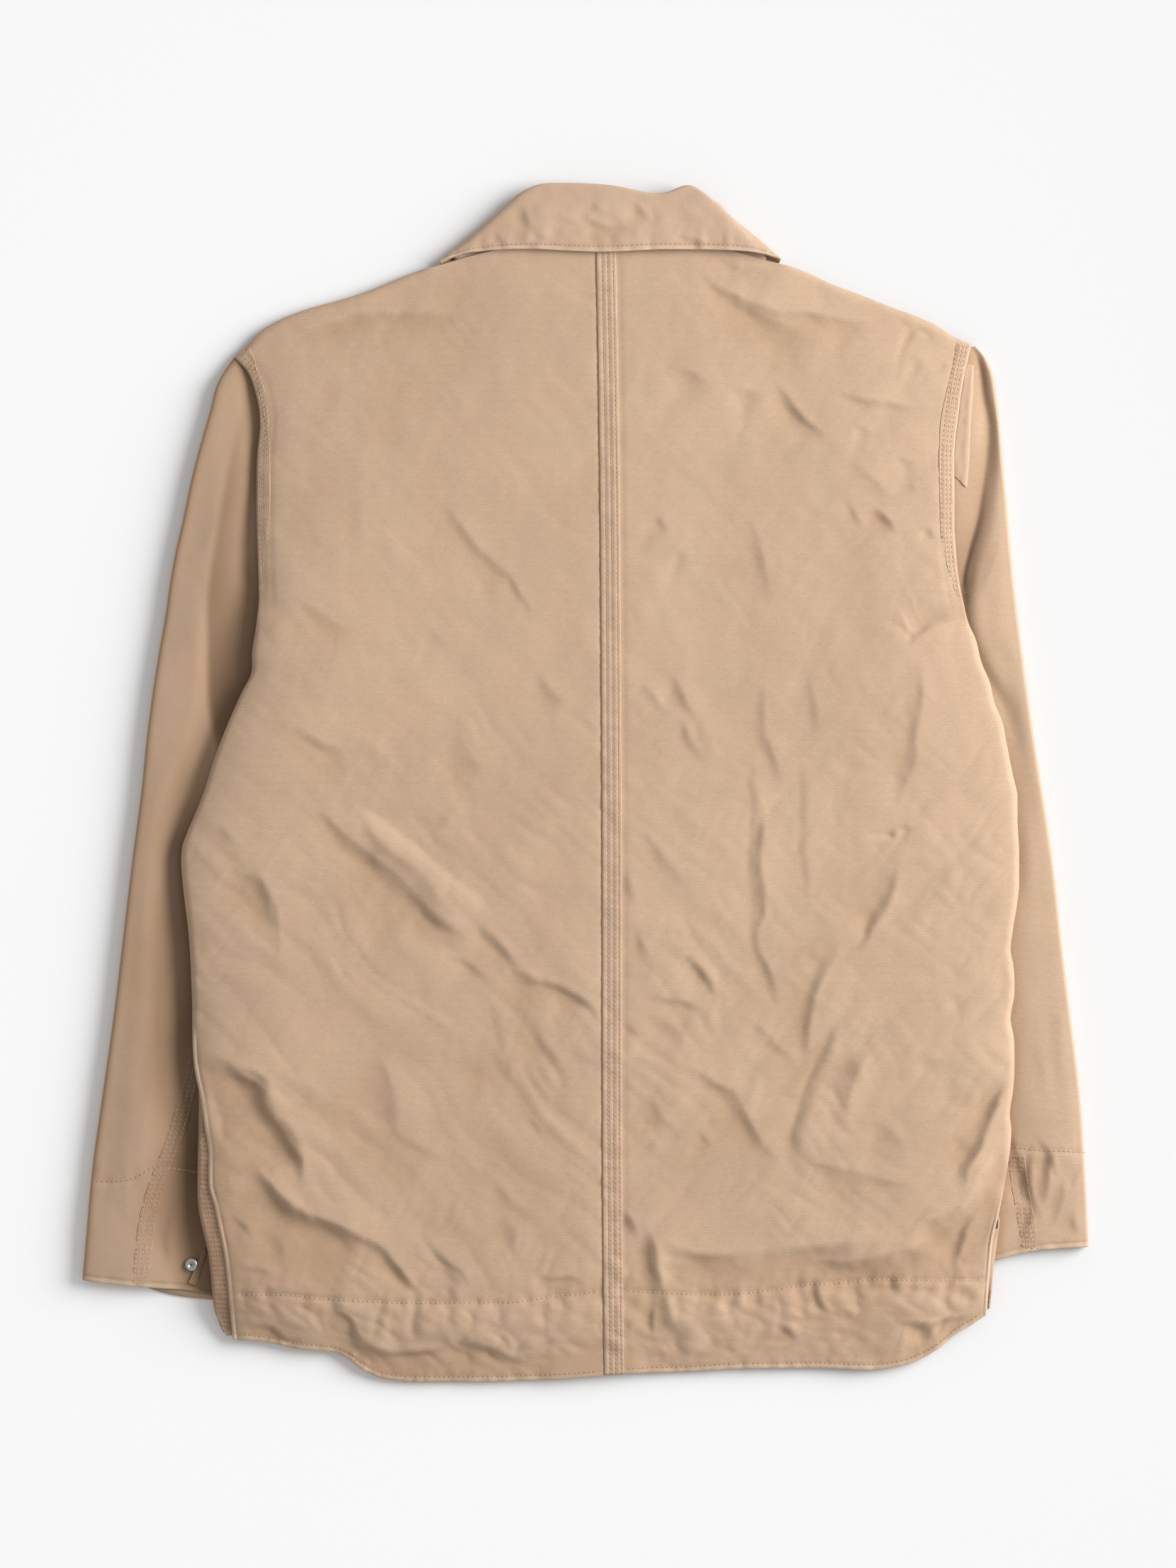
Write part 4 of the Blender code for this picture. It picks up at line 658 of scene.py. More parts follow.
def undulation(x, y):
    """Broad, faint unevenness of cloth that was folded and worn, stronger towards the hem."""
    soft = (0.26 * noise(x / 46, y / 60, 11) + 0.17 * noise(x / 21, y / 25, 12)
            + 0.08 * noise(x / 9, y / 11, 13))
    soft = soft * (1 + 0.6 * smooth((y - 10) / 120))
    bent_x = x + 9 * noise(x / 60, y / 60, 14) + 3 * noise(x / 19, y / 19, 15)
    bent_y = y + 9 * noise(x / 60, y / 60, 16) + 3 * noise(x / 19, y / 19, 17)
    folds = between(crumple(bent_x, bent_y, 0.75, 18), crumple(bent_x, bent_y, -0.9, 23),
                    smooth(0.5 + 0.9 * noise(x / 85, y / 75, 29) + (x - 60) / 240))
    fine = np.abs(noise((bent_x + bent_y) / 15, (bent_y - bent_x) / 34, 27))
    fine = fine + 0.6 * np.abs(noise((bent_x - bent_y) / 9, (bent_y + bent_x) / 21, 28))
    patches = smooth(0.5 + 0.9 * noise(x / 48, y / 52, 35))
    soft = soft + (0.16 + 0.34 * patches * smooth((150 - y) / 330)) * fine
    return soft + (0.22 + 0.6 * smooth((130 - y) / 260)) * folds


def seam_marks(x, y):
    """Dips and puckers beside the seams of the back."""
    marks = np.zeros_like(x)
    seam = x - CENTRE_SEAM(y)
    marks -= 0.28 * bell(np.minimum(seam, 0), 1.6) * (seam < 0)
    marks -= 0.35 * bell(seam - CENTRE_SEAM_WIDTH - 1.5, 1.8)
    ripple = noise(y / 5.5, 0, 21)
    marks += 0.16 * ripple * bell(np.abs(seam - CENTRE_SEAM_WIDTH / 2), 13)
    for side in (LEFT, RIGHT):
        away = inside(side, x, y)
        there = smooth((y - UNDERARM + 8) / 10)
        marks -= 0.25 * there * bell(away - ARMHOLE_SEAM_WIDTH - 1.0, 1.5)
        marks += 0.22 * there * noise(y / 5, side, 22) * bell(away, 14)
    return marks


def hem_marks(x, y):
    """The facing's stitched line with its puckers, and the thicker facing below it."""
    off = y - FACING(x)
    marks = -0.45 * bell(off, 1.5)
    marks += 0.35 * smooth((-off - 0.5) / 2.5)
    fine = 0.7 * noise(x / 4.6, off / 14, 31) + 0.5 * noise(x / 9, off / 20, 32)
    marks += fine * np.exp(-np.abs(off + 1.5) / 6.5)
    bent = x + 6 * noise(x / 20, off / 12, 36)
    folds = 1.5 * np.abs(noise(bent / 17, off / 15, 37)) + 0.8 * np.abs(
        noise((bent + off) / 11, off / 9, 38))
    marks += folds * smooth((2 - off) / 10) * smooth((y - HEM_LINE(x) - 5) / 12)
    marks += 0.4 * folds * smooth((off + 2) / 8) * smooth(1 - off / 45)
    marks += 0.3 * noise(x / 2.3, off / 5, 30) * bell(off, 2.2)
    for place, high, low, depth in PUCKERS:
        along = (high - y) / (high - low)
        away = (x - place - 3.0 * noise(y / 14, place, 33)) / 3.2
        marks -= 0.65 * depth * bell(away) * smooth(4 * along) * smooth(4 * (1 - along))
        marks += 0.26 * depth * bell(away - 1.9) * smooth(4 * along) * smooth(
            4 * (1 - along))
    from_hem = y - HEM_LINE(x)
    marks += (0.45 * noise(x / 3.4, from_hem / 9, 34)) * bell(from_hem, 7)
    marks -= 0.4 * bell(from_hem - 3.6, 0.9)
    return marks


EDGE_DOME = {
    LEFT: spline(((0, 0.66), (5, 0.80), (12, 0.93), (24, 1.0), (45, 0.92), (80, 0.58), (120, 0.26),
                  (165, 0.06), (200, 0))),
    RIGHT: spline(((0, 0.66), (6, 0.80), (15, 0.92), (30, 1.0), (50, 0.97), (80, 0.68),
                   (120, 0.3), (165, 0.06), (200, 0))),
}
LIFT_SHOWN = spline(((-385, 0.15), (-362, 0.35), (-335, 0.85), (-300, 1), (95, 1), (150, 0.88),
                     (200, 0.7), (250, 0.42), (285, 0.08)))


def back_base(x, y):
    rise = 0
    for side in (LEFT, RIGHT):
        away = inside(side, x, y)
        fall = 0.25 * smooth((y - 105) / 30) * bell(np.maximum(away, 0), 6)
        rise = rise + BACK_RISE[side] * EDGE_DOME[side](away) * (1 - fall)
    rise = rise * LIFT_SHOWN(y)
    hem_drop = 4.2 * smooth(1 - (y - HEM_LINE(x)) / 40)
    shoulder_drop = 2.4 * smooth(1 - (TOP_LINE(x) - y) / 45)
    return BACK_LEVEL + rise - hem_drop - shoulder_drop


def back_surface(x, y):
    """Height of the middle of the back's cloth, and what the small forms add to it."""
    base = back_base(x, y)
    fine = relief(x, y, BACK_CREASES) + undulation(x, y) + seam_marks(x, y)
    fine = fine + hem_marks(x, y) * smooth((-290 - y) / 12)
    floor = front_height(x, y, RIGHT) + LAYER
    height = higher(base + fine, floor, 0.6)
    return height, height - higher(base, floor, 0.6)


def back_shade(side, x, y, from_edge):
    """Painted light and shade of the back: painted light at its upper right, painted shade towards its
    lower left, in the facing and, on the right, beside the groove that the sleeve leaves."""
    shade = 1 + 0.02 * smooth((x + 20) / 80) * smooth((y + 60) / 80)
    shade = shade - 0.015 * smooth((-60 - y) / 120) * smooth((60 - x) / 100)
    shade = shade - 0.035 * smooth((FACING(x) - y) / 3)
    if side == RIGHT:
        shade = shade - 0.16 * smooth((y - 100) / 8) * smooth((160 - y) / 20) * bell(from_edge, 3.5)
    return shade


def patch(edge, seam, hem, top, columns, rows):
    """Grid between four boundary curves, each a function from 0 to 1."""
    u = np.array(columns)[None, :, None]
    v = np.array(rows)[:, None, None]
    side = np.array([edge(t) for t in v.ravel()])[:, None, :]
    middle = np.array([seam(t) for t in v.ravel()])[:, None, :]
    low = np.array([hem(t) for t in u.ravel()])[None, :, :]
    high = np.array([top(t) for t in u.ravel()])[None, :, :]
    corner = [np.array(f(t)) for f, t in ((edge, 0), (seam, 0), (edge, 1), (seam, 1))]
    corners = (1 - u) * (1 - v) * corner[0] + u * (1 - v) * corner[1]
    corners = corners + (1 - u) * v * corner[2] + u * v * corner[3]
    return (1 - u) * side + u * middle + (1 - v) * low + v * high - corners


def shares(length, near, far, pitch):
    """Places along a length as shares of it: given distances at its two ends, even between."""
    low, high = near[-1], length - far[-1]
    even = np.linspace(low, high, max(2, round((high - low) / pitch)) + 1)[1:-1]
    return np.concatenate([near, even, length - np.array(far[::-1])]) / length


def body_plan(edge_at, seam_at, top_at, hem_at, columns, rows):
    """Plan of half the body. Its four edges are functions: x of y for the side and the middle, and
    y of x for the shoulder and the hem."""
    def corner(across, along, y):
        for _ in range(40):
            y = float(along(across(y)))
        return y

    low, high = corner(edge_at, hem_at, -355), corner(edge_at, top_at, 280)
    seam_low, seam_high = corner(seam_at, hem_at, -384), corner(seam_at, top_at, 345)

    def edge(t):
        y = between(low, high, t)
        return float(edge_at(y)), y

    def seam(t):
        y = between(seam_low, seam_high, t)
        return float(seam_at(y)), y

    def hem(t):
        x = between(edge(0)[0], seam(0)[0], t)
        return x, float(hem_at(x))

    def top(t):
        x = between(edge(1)[0], seam(1)[0], t)
        return x, float(top_at(x))

    return patch(edge, seam, hem, top, columns, rows)


def apart(a, b):
    return np.linalg.norm(a - b, axis=2)


def quarter(distance, reach):
    """A quarter turn's drop, from 1 at the edge to 0 at its reach."""
    t = np.clip(1 - distance / reach, 0, 1)
    return 1 - np.sqrt(1 - t * t)


def turned(line, across, reach, drop, steps=TURN_STEPS):
    """Rows that carry an edge line on over a quarter turn."""
    rows = []
    for degrees in np.linspace(0, 90, steps + 1)[1:]:
        angle = math.radians(degrees)
        row = line + np.outer(reach * np.ones(len(line)) * math.sin(angle), across)
        row[:, 2] -= drop * (1 - math.cos(angle))
        rows.append(row)
    return rows


def shoulder(x):
    return smooth((NECK_LEFT - 3 - x) / 12) + smooth((x - NECK_RIGHT - 3) / 12)


def meeting(x, y, share=0.42):
    low, high = front_height(x, y, RIGHT), np.maximum(back_base(x, y),
                                                      front_height(x, y, RIGHT) + LAYER)
    return low + share * (high - low)


def side_meeting(side, y):
    share = 0.42 - 0.25 * smooth((SIDE_SEAM_TOP[side] - y) / 20)
    return meeting(EDGE[side](y) - side * FOLD_REACH, y, share)


def normals(grid):
    along = np.gradient(grid, axis=1)
    up = np.gradient(grid, axis=0)
    normal = np.cross(along, up)
    normal /= np.maximum(np.linalg.norm(normal, axis=2, keepdims=True), 1e-9)
    return normal if normal[:, :, 2].mean() > 0 else -normal


def moved_out(grid, distance):
    return grid + normals(grid) * distance


def lowest_near(values, reach):
    """Lowest of the values within reach of each, along both directions of a grid."""
    for axis in (0, 1):
        padded = np.pad(values, [(reach, reach) if a == axis else (0, 0) for a in (0, 1)],
                        mode="edge")
        count = values.shape[axis]
        values = np.min([padded.take(range(k, k + count), axis) for k in range(2 * reach + 1)],
                        axis=0)
    return values


MADE = {}
TREES = {}


def every(count, step):
    return np.array(list(range(0, count - 1, step)) + [count - 1])


def raised(plan, height):
    """A grid in plan with its heights added."""
    return np.concatenate([plan, height[:, :, None]], axis=2)


def quads(index):
    """Faces between neighbours in a grid of point numbers."""
    corners = [index[:-1, :-1], index[:-1, 1:], index[1:, 1:], index[1:, :-1]]
    return np.stack(corners, axis=-1).reshape(-1, 4)


def placed(name, data):
    item = bpy.data.objects.new(name, data)
    bpy.context.scene.collection.objects.link(item)
    return item


def add_mesh(name, points, faces, made_of, tone=None, wear=None):
    """A mesh from points in millimetres. Its painted shade multiplies its cloth's colour: below 1 it
    is painted shade and above 1 painted light. Wear is the share of paler thread that shows."""
    mesh = bpy.data.meshes.new(name)
    mesh.from_pydata((np.asarray(points, float) * MM).tolist(), [], faces)
    mesh.materials.append(made_of)
    mesh.shade_smooth()
    for key, values, plain in (("tone", tone, 1.0), ("wear", wear, 0.0)):
        layer = mesh.attributes.new(key, "FLOAT", "POINT")
        values = np.full(len(points), plain) if values is None else values
        layer.data.foreach_set("value", np.asarray(values, np.float32))
    item = placed("shown_" + name, mesh)
    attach(item, "root")
    MADE[name] = item
    return item


def shell(name, grid, made_of, thickness=CLOTH, fine=None, tone=None, wear=None, step=3):
    """A closed thin shell: a fine upper side and a coarser under side, joined round the edges."""
    rows, columns = grid.shape[:2]
    normal = normals(grid)
    top = grid + normal * thickness / 2
    bottom = grid - normal * thickness / 2
    r, c = every(rows, step), every(columns, step)
    if fine is not None:
        room = fine - lowest_near(fine, step)
        room[[0, -1]] = 0
        room[:, [0, -1]] = 0
        bottom[:, :, 2] -= room
    under = bottom[np.ix_(r, c)]
    over = np.arange(rows * columns).reshape(rows, columns)
    below = rows * columns + np.arange(len(r) * len(c)).reshape(len(r), len(c))
    faces = quads(over).tolist() + quads(below)[:, [0, 3, 2, 1]].tolist()
    for line, under_line, picks, forward in (
        (over[0], below[0], c, False), (over[-1], below[-1], c, True),
        (over[:, 0], below[:, 0], r, True), (over[:, -1], below[:, -1], r, False),
    ):
        for k in range(len(picks) - 1):
            face = line[picks[k]: picks[k + 1] + 1].tolist() + [under_line[k + 1], under_line[k]]
            faces.append([int(i) for i in (face if forward else face[::-1])])
    middle = rows // 2, columns // 2
    along = grid[middle[0], middle[1] + 1] - grid[middle]
    up = grid[middle[0] + 1, middle[1]] - grid[middle]
    if np.cross(along, up)[2] < 0:
        faces = [face[::-1] for face in faces]
    points = np.concatenate([top.reshape(-1, 3), under.reshape(-1, 3)])
    kept = []
    for values, plain in ((tone, 1.0), (wear, 0.0)):
        values = np.full((rows, columns), plain) if values is None else values
        kept.append(np.concatenate([values.ravel(), values[np.ix_(r, c)].ravel()]))
    return add_mesh(name, points, faces, made_of, *kept)


def stands_for(item, node, slot, flat=None, area=None, rests_on=()):
    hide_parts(node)


def cloth_piece(name, grid, made_of, flat, area, rests_on, **look):
    """A shell that stands for the node of the same name."""
    item = shell(name, grid, MATERIALS[made_of], **look)
    slot = "duck_seam" if made_of == "duck_seam" else "duck"
    stands_for(item, name, slot, flat, area, rests_on)


def hollow_tone(fine, strength=0.05):
    """Painted shade, a little darker in the cloth's valleys, and painted light, a little paler on its
    ridges.
    """
    return 1 + strength * np.clip(fine, -2.2, 1.5)


# Materials

def new_material(name, colour, roughness, metallic=0.0):
    made_of = bpy.data.materials.new(name)
    made_of.use_nodes = True
    shader = made_of.node_tree.nodes["Principled BSDF"]
    shader.inputs["Base Color"].default_value = (*colour, 1)
    shader.inputs["Roughness"].default_value = roughness
    shader.inputs["Metallic"].default_value = metallic
    return made_of, made_of.node_tree, shader


def add_node(tree, kind, output, sockets=None, **settings):
    """A node with its settings made and its sockets, by name or number, set or linked. It returns
    the output asked for."""
    node = tree.nodes.new("ShaderNode" + kind)
    for key, setting in settings.items():
        setattr(node, key, setting)
    for socket, given in (sockets or {}).items():
        if isinstance(given, bpy.types.NodeSocket):
            tree.links.new(given, node.inputs[socket])
        else:
            node.inputs[socket].default_value = given
    return node.outputs[output]


def duck_material(name, colour, turn=0.0, weave=1.0):
    """Cotton duck: ribs and short uneven slubs along the weft, faint clouds of fading, paler
    thread where it is worn, and painted shade, browner where it is darker. The weft runs at an
    angle to X, in degrees, and the last number is how strongly the weave shows."""
    made_of, tree, shader = new_material(name, colour, 0.88)
    shader.inputs["Specular IOR Level"].default_value = 0.2
    shader.inputs["Sheen Weight"].default_value = 0.08
    shader.inputs["Sheen Roughness"].default_value = 0.5
    shader.inputs["Sheen Tint"].default_value = (0.95, 0.85, 0.75, 1)
    where = add_node(tree, "TexCoord", "Object")
    weft = add_node(tree, "Mapping", "Vector", {"Vector": where,
                                                "Rotation": (0, 0, math.radians(turn))})

    def texture(size, detail):
        stretched = add_node(tree, "VectorMath", "Vector", {0: weft, 1: size},
                             operation="MULTIPLY")
        return add_node(tree, "TexNoise", "Fac", {"Vector": stretched, "Scale": 1.0,
                                                  "Detail": detail, "Roughness": 0.5})

    def value(operation, *given):
        return add_node(tree, "Math", "Value", dict(enumerate(given)), operation=operation)

    def varied(total, grain, amount):
        """The total times a number near 1, which the grain moves by that amount at most."""
        return value("MULTIPLY", total, value("MULTIPLY_ADD", grain, 2 * amount, 1 - amount))

    def attribute(name):
        return add_node(tree, "Attribute", "Fac", attribute_name=name)

    def ribs(scale):
        return add_node(tree, "TexWave", "Fac", {
            "Vector": weft, "Scale": scale, "Distortion": 0.9, "Detail": 1.0, "Detail Scale": 0.8,
        }, bands_direction="Y")

    def mix(factor, first, second):
        return add_node(tree, "Mix", 2, {0: factor, 6: first, 7: second}, data_type="RGBA")

    slub, fine_slub = texture((260, 850, 260), 1), texture((620, 1500, 620), 1)
    mottle = texture((380, 430, 380), 1)
    cloud, blotch = texture((7, 7, 7), 3), texture((30, 30, 30), 2)
    hue = texture((22, 22, 22), 2)
    total = varied(attribute("tone"), slub, 0.060 * weave)
    total = varied(total, fine_slub, 0.085 * weave)
    for scale, amount in ((167.0, 0.012), (55.7, 0.007)):
        total = varied(total, ribs(scale), amount * weave)
    for grain, amount in ((mottle, 0.028 * weave), (cloud, 0.08), (blotch, 0.06)):
        total = varied(total, grain, amount)

    pinker, yellower = (
        (*(c * k for c, k in zip(colour, shift)), 1)
        for shift in ((1.025, 0.985, 1.0), (0.975, 1.01, 0.985))
    )
    cloth = mix(hue, pinker, yellower)
    cloth = mix(attribute("wear"), cloth, (*WORN_COLOUR, 1))
    # Painted shade: the cloth turns browner where its painted shade darkens it
    hollow = value("SUBTRACT", 1.0, attribute("tone"))
    hollow = value("POWER", value("MAXIMUM", hollow, 0.0), 0.5)
    hollow = value("MULTIPLY", hollow, 0.9)
    browner = add_node(tree, "VectorMath", "Vector", {1: PAINTED_SHADE_TINT, 0: cloth},
                       operation="MULTIPLY")
    cloth = mix(hollow, cloth, browner)
    scaled = add_node(tree, "VectorMath", "Vector", {0: cloth, "Scale": total}, operation="SCALE")
    tree.links.new(scaled, shader.inputs["Base Color"])
    height = value("MULTIPLY_ADD", slub, 1.0, fine_slub)
    bump = add_node(tree, "Bump", "Normal", {"Strength": 0.3 * weave, "Distance": 0.0002,
                                             "Height": height})
    tree.links.new(bump, shader.inputs["Normal"])
    return made_of


def floor_material():
    """A pale floor, which is paler away from the lamp and behind it, so that it looks evenly
    lit."""
    made_of, tree, shader = new_material("floor", (0.93, 0.93, 0.93), 0.9)
    shader.inputs["Specular IOR Level"].default_value = 0.0
    where = add_node(tree, "TexCoord", "Object")
    away = add_node(tree, "VectorMath", "Value", {1: KEY_AT, 0: where}, operation="DISTANCE")
    along = add_node(tree, "SeparateXYZ", "X", {"Vector": where})
    before = add_node(tree, "MapRange", "Result", {
        "From Min": BEHIND[0], "From Max": BEHIND[1], "To Min": 1, "To Max": 0, "Value": along,
    })
    last = away
    for operation, first, second in (
        ("POWER", None, KEY_FALL),
        ("DIVIDE", KEY_REACH * KEY_POWER, None),
        ("MULTIPLY", None, before),
        ("ADD", None, SKY_STRENGTH),
        ("DIVIDE", FLOOR_LEVEL, None),
    ):
        given = {0: last if first is None else first, 1: last if second is None else second}
        last = add_node(tree, "Math", "Value", given, operation=operation)
    tree.links.new(last, shader.inputs["Base Color"])
    return made_of


TAN = (0.478, 0.332, 0.226)
MATERIALS = {
    "duck": duck_material("duck", TAN),
    # The left sleeve's cloth is a little darker, as painted shade
    "duck_left_sleeve": duck_material("duck_left_sleeve", (0.468, 0.325, 0.220), -7.0, 0.5),
    "duck_right_sleeve": duck_material("duck_right_sleeve", TAN, 7.0),
    "duck_collar": duck_material("duck_collar", (0.486, 0.342, 0.240), 90.0, 0.6),
    "duck_seam": duck_material("duck_seam", (0.478, 0.331, 0.229), 90.0, 0.7),
    "thread": new_material("thread", (0.44, 0.30, 0.205), 0.7)[0],
    "sleeve_thread": new_material("sleeve_thread", (0.46, 0.335, 0.235), 0.7)[0],
    "pale_thread": new_material("pale_thread", (0.52, 0.41, 0.31), 0.7)[0],
    # Colour of the painted shade in the needle holes
    "hole": new_material("hole", (0.26, 0.165, 0.105), 0.9)[0],
    "metal": new_material("metal", (0.50, 0.52, 0.50), 0.32, 0.9)[0],
    "metal_dark": new_material("metal_dark", (0.10, 0.10, 0.10), 0.4, 0.9)[0],
}


# Pieces of cloth

def worn(distance, width=0.9, share=0.45):
    return share * bell(distance, width)


def make_back(side):
    word = WORD[side]
    columns = shares(BACK_SPAN, EDGE_STEPS, SEAM_STEPS, PITCH)
    rows = shares(BODY_SPAN, HEM_STEPS, EDGE_STEPS, PITCH)
    plan = body_plan(lambda y: EDGE[side](y) - side * EDGE_IN,
                     lambda y: CENTRE_SEAM(y) + side * GAP / 2,
                     lambda x: TOP_LINE(x) - EDGE_IN, lambda x: HEM_LINE(x) + EDGE_IN,
                     columns, rows)
    x, y = plan[:, :, 0], plan[:, :, 1]
    height, fine = back_surface(x, y)
    from_edge, from_top = apart(plan, plan[:, :1]), apart(plan, plan[-1:])
    from_hem, from_seam = apart(plan, plan[:1]), apart(plan, plan[:, -1:])
    edge_y, turn = y[:, :1], len(EDGE_STEPS) - 1
    folded = smooth((UNDERARM - 8 - edge_y) / 22)
    folded = folded * smooth((edge_y - SIDE_SEAM_TOP[side]) / 30)
    seamed = 1 - smooth((edge_y - SIDE_SEAM_TOP[side]) / 20)
    height = height - 0.6 * fine * seamed * bell(from_edge, 6)
    uneven = 1 + 0.5 * noise(edge_y / 11, 0, 39)
    height = height + seamed * uneven * (0.3 * bell(from_edge - 0.8, 0.6)
                                         - 0.45 * bell(from_edge - 2.4, 0.7))
    deep = height[:, turn:turn + 1] - side_meeting(side, edge_y) - TURN_GAP
    drop = folded * deep * quarter(from_edge, FOLD_REACH)
    drop = drop + 0.8 * (1 - folded) * quarter(from_edge, 1.8)
    shoulder_x, shoulder_y = x[-1:], y[-1:]
    over = shoulder(shoulder_x)
    deep = height[-1 - turn:-turn] - meeting(shoulder_x, shoulder_y) - TURN_GAP
    drop = np.maximum(drop, over * deep * quarter(from_top, SHOULDER_ROLL))
    drop = drop + 0.6 * quarter(from_hem, 1.6) + 0.35 * quarter(from_seam, 1.2)
    grid = raised(plan, height - drop)
    wear = worn(from_hem, 1.6, 0.6) + worn(from_edge, 1.3, 0.8) * seamed
    # Painted shade in the back's valleys and painted light on its ridges, times its painted gradient
    tone = hollow_tone(fine) * back_shade(side, x, y, from_edge)
    cloth_piece("back_" + word, grid, "duck", *PANEL_CUT["back"],
                ["front_" + word, "sleeve_%s_upper" % word], fine=fine, tone=tone, wear=wear)


def make_front(side):
    word = WORD[side]

    def edge_at(y):
        line = np.where(y < SIDE_SEAM_TOP[side], OUTLINE[side](y), EDGE[side](y))
        tucked = (ARMHOLE_SEAM_WIDTH + 1.6 + FOLD_REACH) * smooth((y - UNDERARM + 26) / 14)
        return line - side * (tucked + EDGE_IN)

    def top_at(x):
        neck = (x > NECK_LEFT) * (x < NECK_RIGHT)
        return np.where(neck, NECK_LINE(x), TOP_LINE(x) - EDGE_IN)

    columns = shares(FRONT_SPAN, EDGE_STEPS, SEAM_STEPS, FRONT_PITCH[0])
    rows = shares(BODY_SPAN, (0, 1, 2.4), EDGE_STEPS, FRONT_PITCH[1])
    lines = (edge_at, lambda y: CENTRE_FRONT - side * LAP + 0 * y, top_at,
             lambda x: HEM_LINE(x) + 2.5)
    plan = body_plan(*lines, columns, rows)
    x, y = plan[:, :, 0], plan[:, :, 1]
    height = front_height(x, y, side)
    height = height + 0.25 * noise(x / 30, y / 40, 41 + side) * smooth((height - 2.3) / 2)
    room = np.maximum(back_base(x, y) - height - LAYER - SLACK, 0)
    folds = np.minimum(np.abs(relief(x, y, FRONT_CREASES[side], 80)), FOLD_ROOM * room)
    height = height + folds
    from_edge, from_top = apart(plan, plan[:, :1]), apart(plan, plan[-1:])
    edge_y, turn = y[:, :1], len(EDGE_STEPS) - 1
    folded = smooth((UNDERARM - 28 - edge_y) / 14)
    rise = side_meeting(side, edge_y) - TURN_GAP - height[:, turn:turn + 1]
    lift = folded * rise * quarter(from_edge, FOLD_REACH)
    over = shoulder(x[-1:])
    rise = meeting(x[-1:], y[-1:]) - TURN_GAP - height[-1 - turn:-turn]
    lift = np.maximum(lift, over * rise * quarter(from_top, SHOULDER_ROLL))
    grid = raised(plan, height + lift)
    # Painted shade darkens the front's hidden folds by their height
    cloth_piece("front_" + word, grid, "duck", *PANEL_CUT["front"], ["pocket_" + word], step=1,
                tone=hollow_tone(-folds, HIDDEN_SHADE))

    plan = body_plan(*lines, np.linspace(*POCKET_ACROSS), np.linspace(*POCKET_UP))
    height = front_height(plan[:, :, 0], plan[:, :, 1], side)
    grid = moved_out(raised(plan, height), -LAYER)
    cloth_piece("pocket_" + word, grid, "duck", *PANEL_CUT["pocket"], ["floor"], step=1)


def make_side_seam(side):
    top = SIDE_SEAM_TOP[side] - 6
    low = SIDE_SEAM_LOW[side]
    y = np.linspace(low, top, SIDE_SEAM_COUNT[side])
    seam, outline = EDGE[side](y), OUTLINE[side](y)
    reach = FOLD_REACH * 0.6
    inner = seam - side * (FOLD_REACH + 1.5)
    outer = outline - side * (reach + EDGE_IN)
    inner = np.where((outer - inner) * side < 3, outer - side * 3, inner)
    height = back_base(seam - side * FOLD_REACH, y) - LAYER - SLACK - 0.6
    columns, tones, shade = [], [], SIDE_SEAM_SHADE[side]
    for t in np.linspace(0, 1, 16):
        x = between(inner, outer, t)
        away = np.abs(x - seam)
        ripple = 0.18 * noise(y / 4.5, t * 3, 51)
        for row in SIDE_ROWS:
            ripple -= (0.3 + 0.4 * np.cos(math.tau * y / STITCH)) * bell(away - row, 1.0)
        columns.append(np.stack([x, y, height + ripple], axis=1))
        # Painted shade in the stitches' dimples
        tones.append(shade * (1 + 0.3 * np.clip(ripple, -0.6, 0.3)))
    drop = height - side_meeting(side, y) - SIDE_SEAM_GAP
    columns += turned(columns[-1], (side, 0, 0), reach, drop, 6)
    grid = np.stack(columns, axis=1)
    wear = np.zeros(grid.shape[:2]) + 0.05
    wear[:, 15:19] = 0.25
    tone = np.full(grid.shape[:2], shade)
    tone[:, :len(tones)] = np.stack(tones, axis=1)
    name = "side_seam_" + WORD[side]
    cloth_piece(name, grid, "duck_seam", SEAM_CUT[name], None, ["front_" + WORD[side]], step=1,
                tone=tone, wear=wear)
    if side == LEFT:
        top_at = surface_height(name)
        lines = []
        for row in SIDE_ROWS[:2]:
            y = np.arange(low + 4, top - 4, 1.5)
            room = np.abs(OUTLINE[side](y) - EDGE[side](y)) > row + 1.4
            line = np.stack([EDGE[side](y) + side * row, y], axis=1)[room]
            lines.append((line, top_at))
        stitches("side_stitches_left", lines)


def sleeve_section(side, y):
    """The section's knots at each y, as a list of (x, height) arrays from the outer edge in."""
    rows = SLEEVE[side]
    outer = spline(rows)(y) - side * EDGE_IN
    knots = [(spline(rows, value=k)(y), spline(rows, value=k + 1)(y)) for k in range(2, 14, 2)]
    roll = np.minimum(SLEEVE_ROLL, 0.5 * (outer - knots[1][0]) * side)
    edge = outer - side * roll, knots[0][1] - EDGE_DROP * roll / SLEEVE_ROLL
    return [edge] + knots, roll


def softened(curve, away, reach=2.6):
    """A section's curve with its corners rounded off."""
    fine = np.arange(away[0] - 12, away[-1] + 12, 0.4)
    kernel = bell(np.arange(-9, 9.1, 0.4), reach)
    flat = np.convolve(curve(np.clip(fine, away[0], away[-1])), kernel / kernel.sum(), "same")
    return np.interp(away, fine, flat)


def cuff_shift(side, kind, share, nominal):
    low = spline(CUFF[side, kind])(share)
    first = SLEEVE[side][0][0]
    return (low - first) * smooth(1 - (nominal - first) / 80)


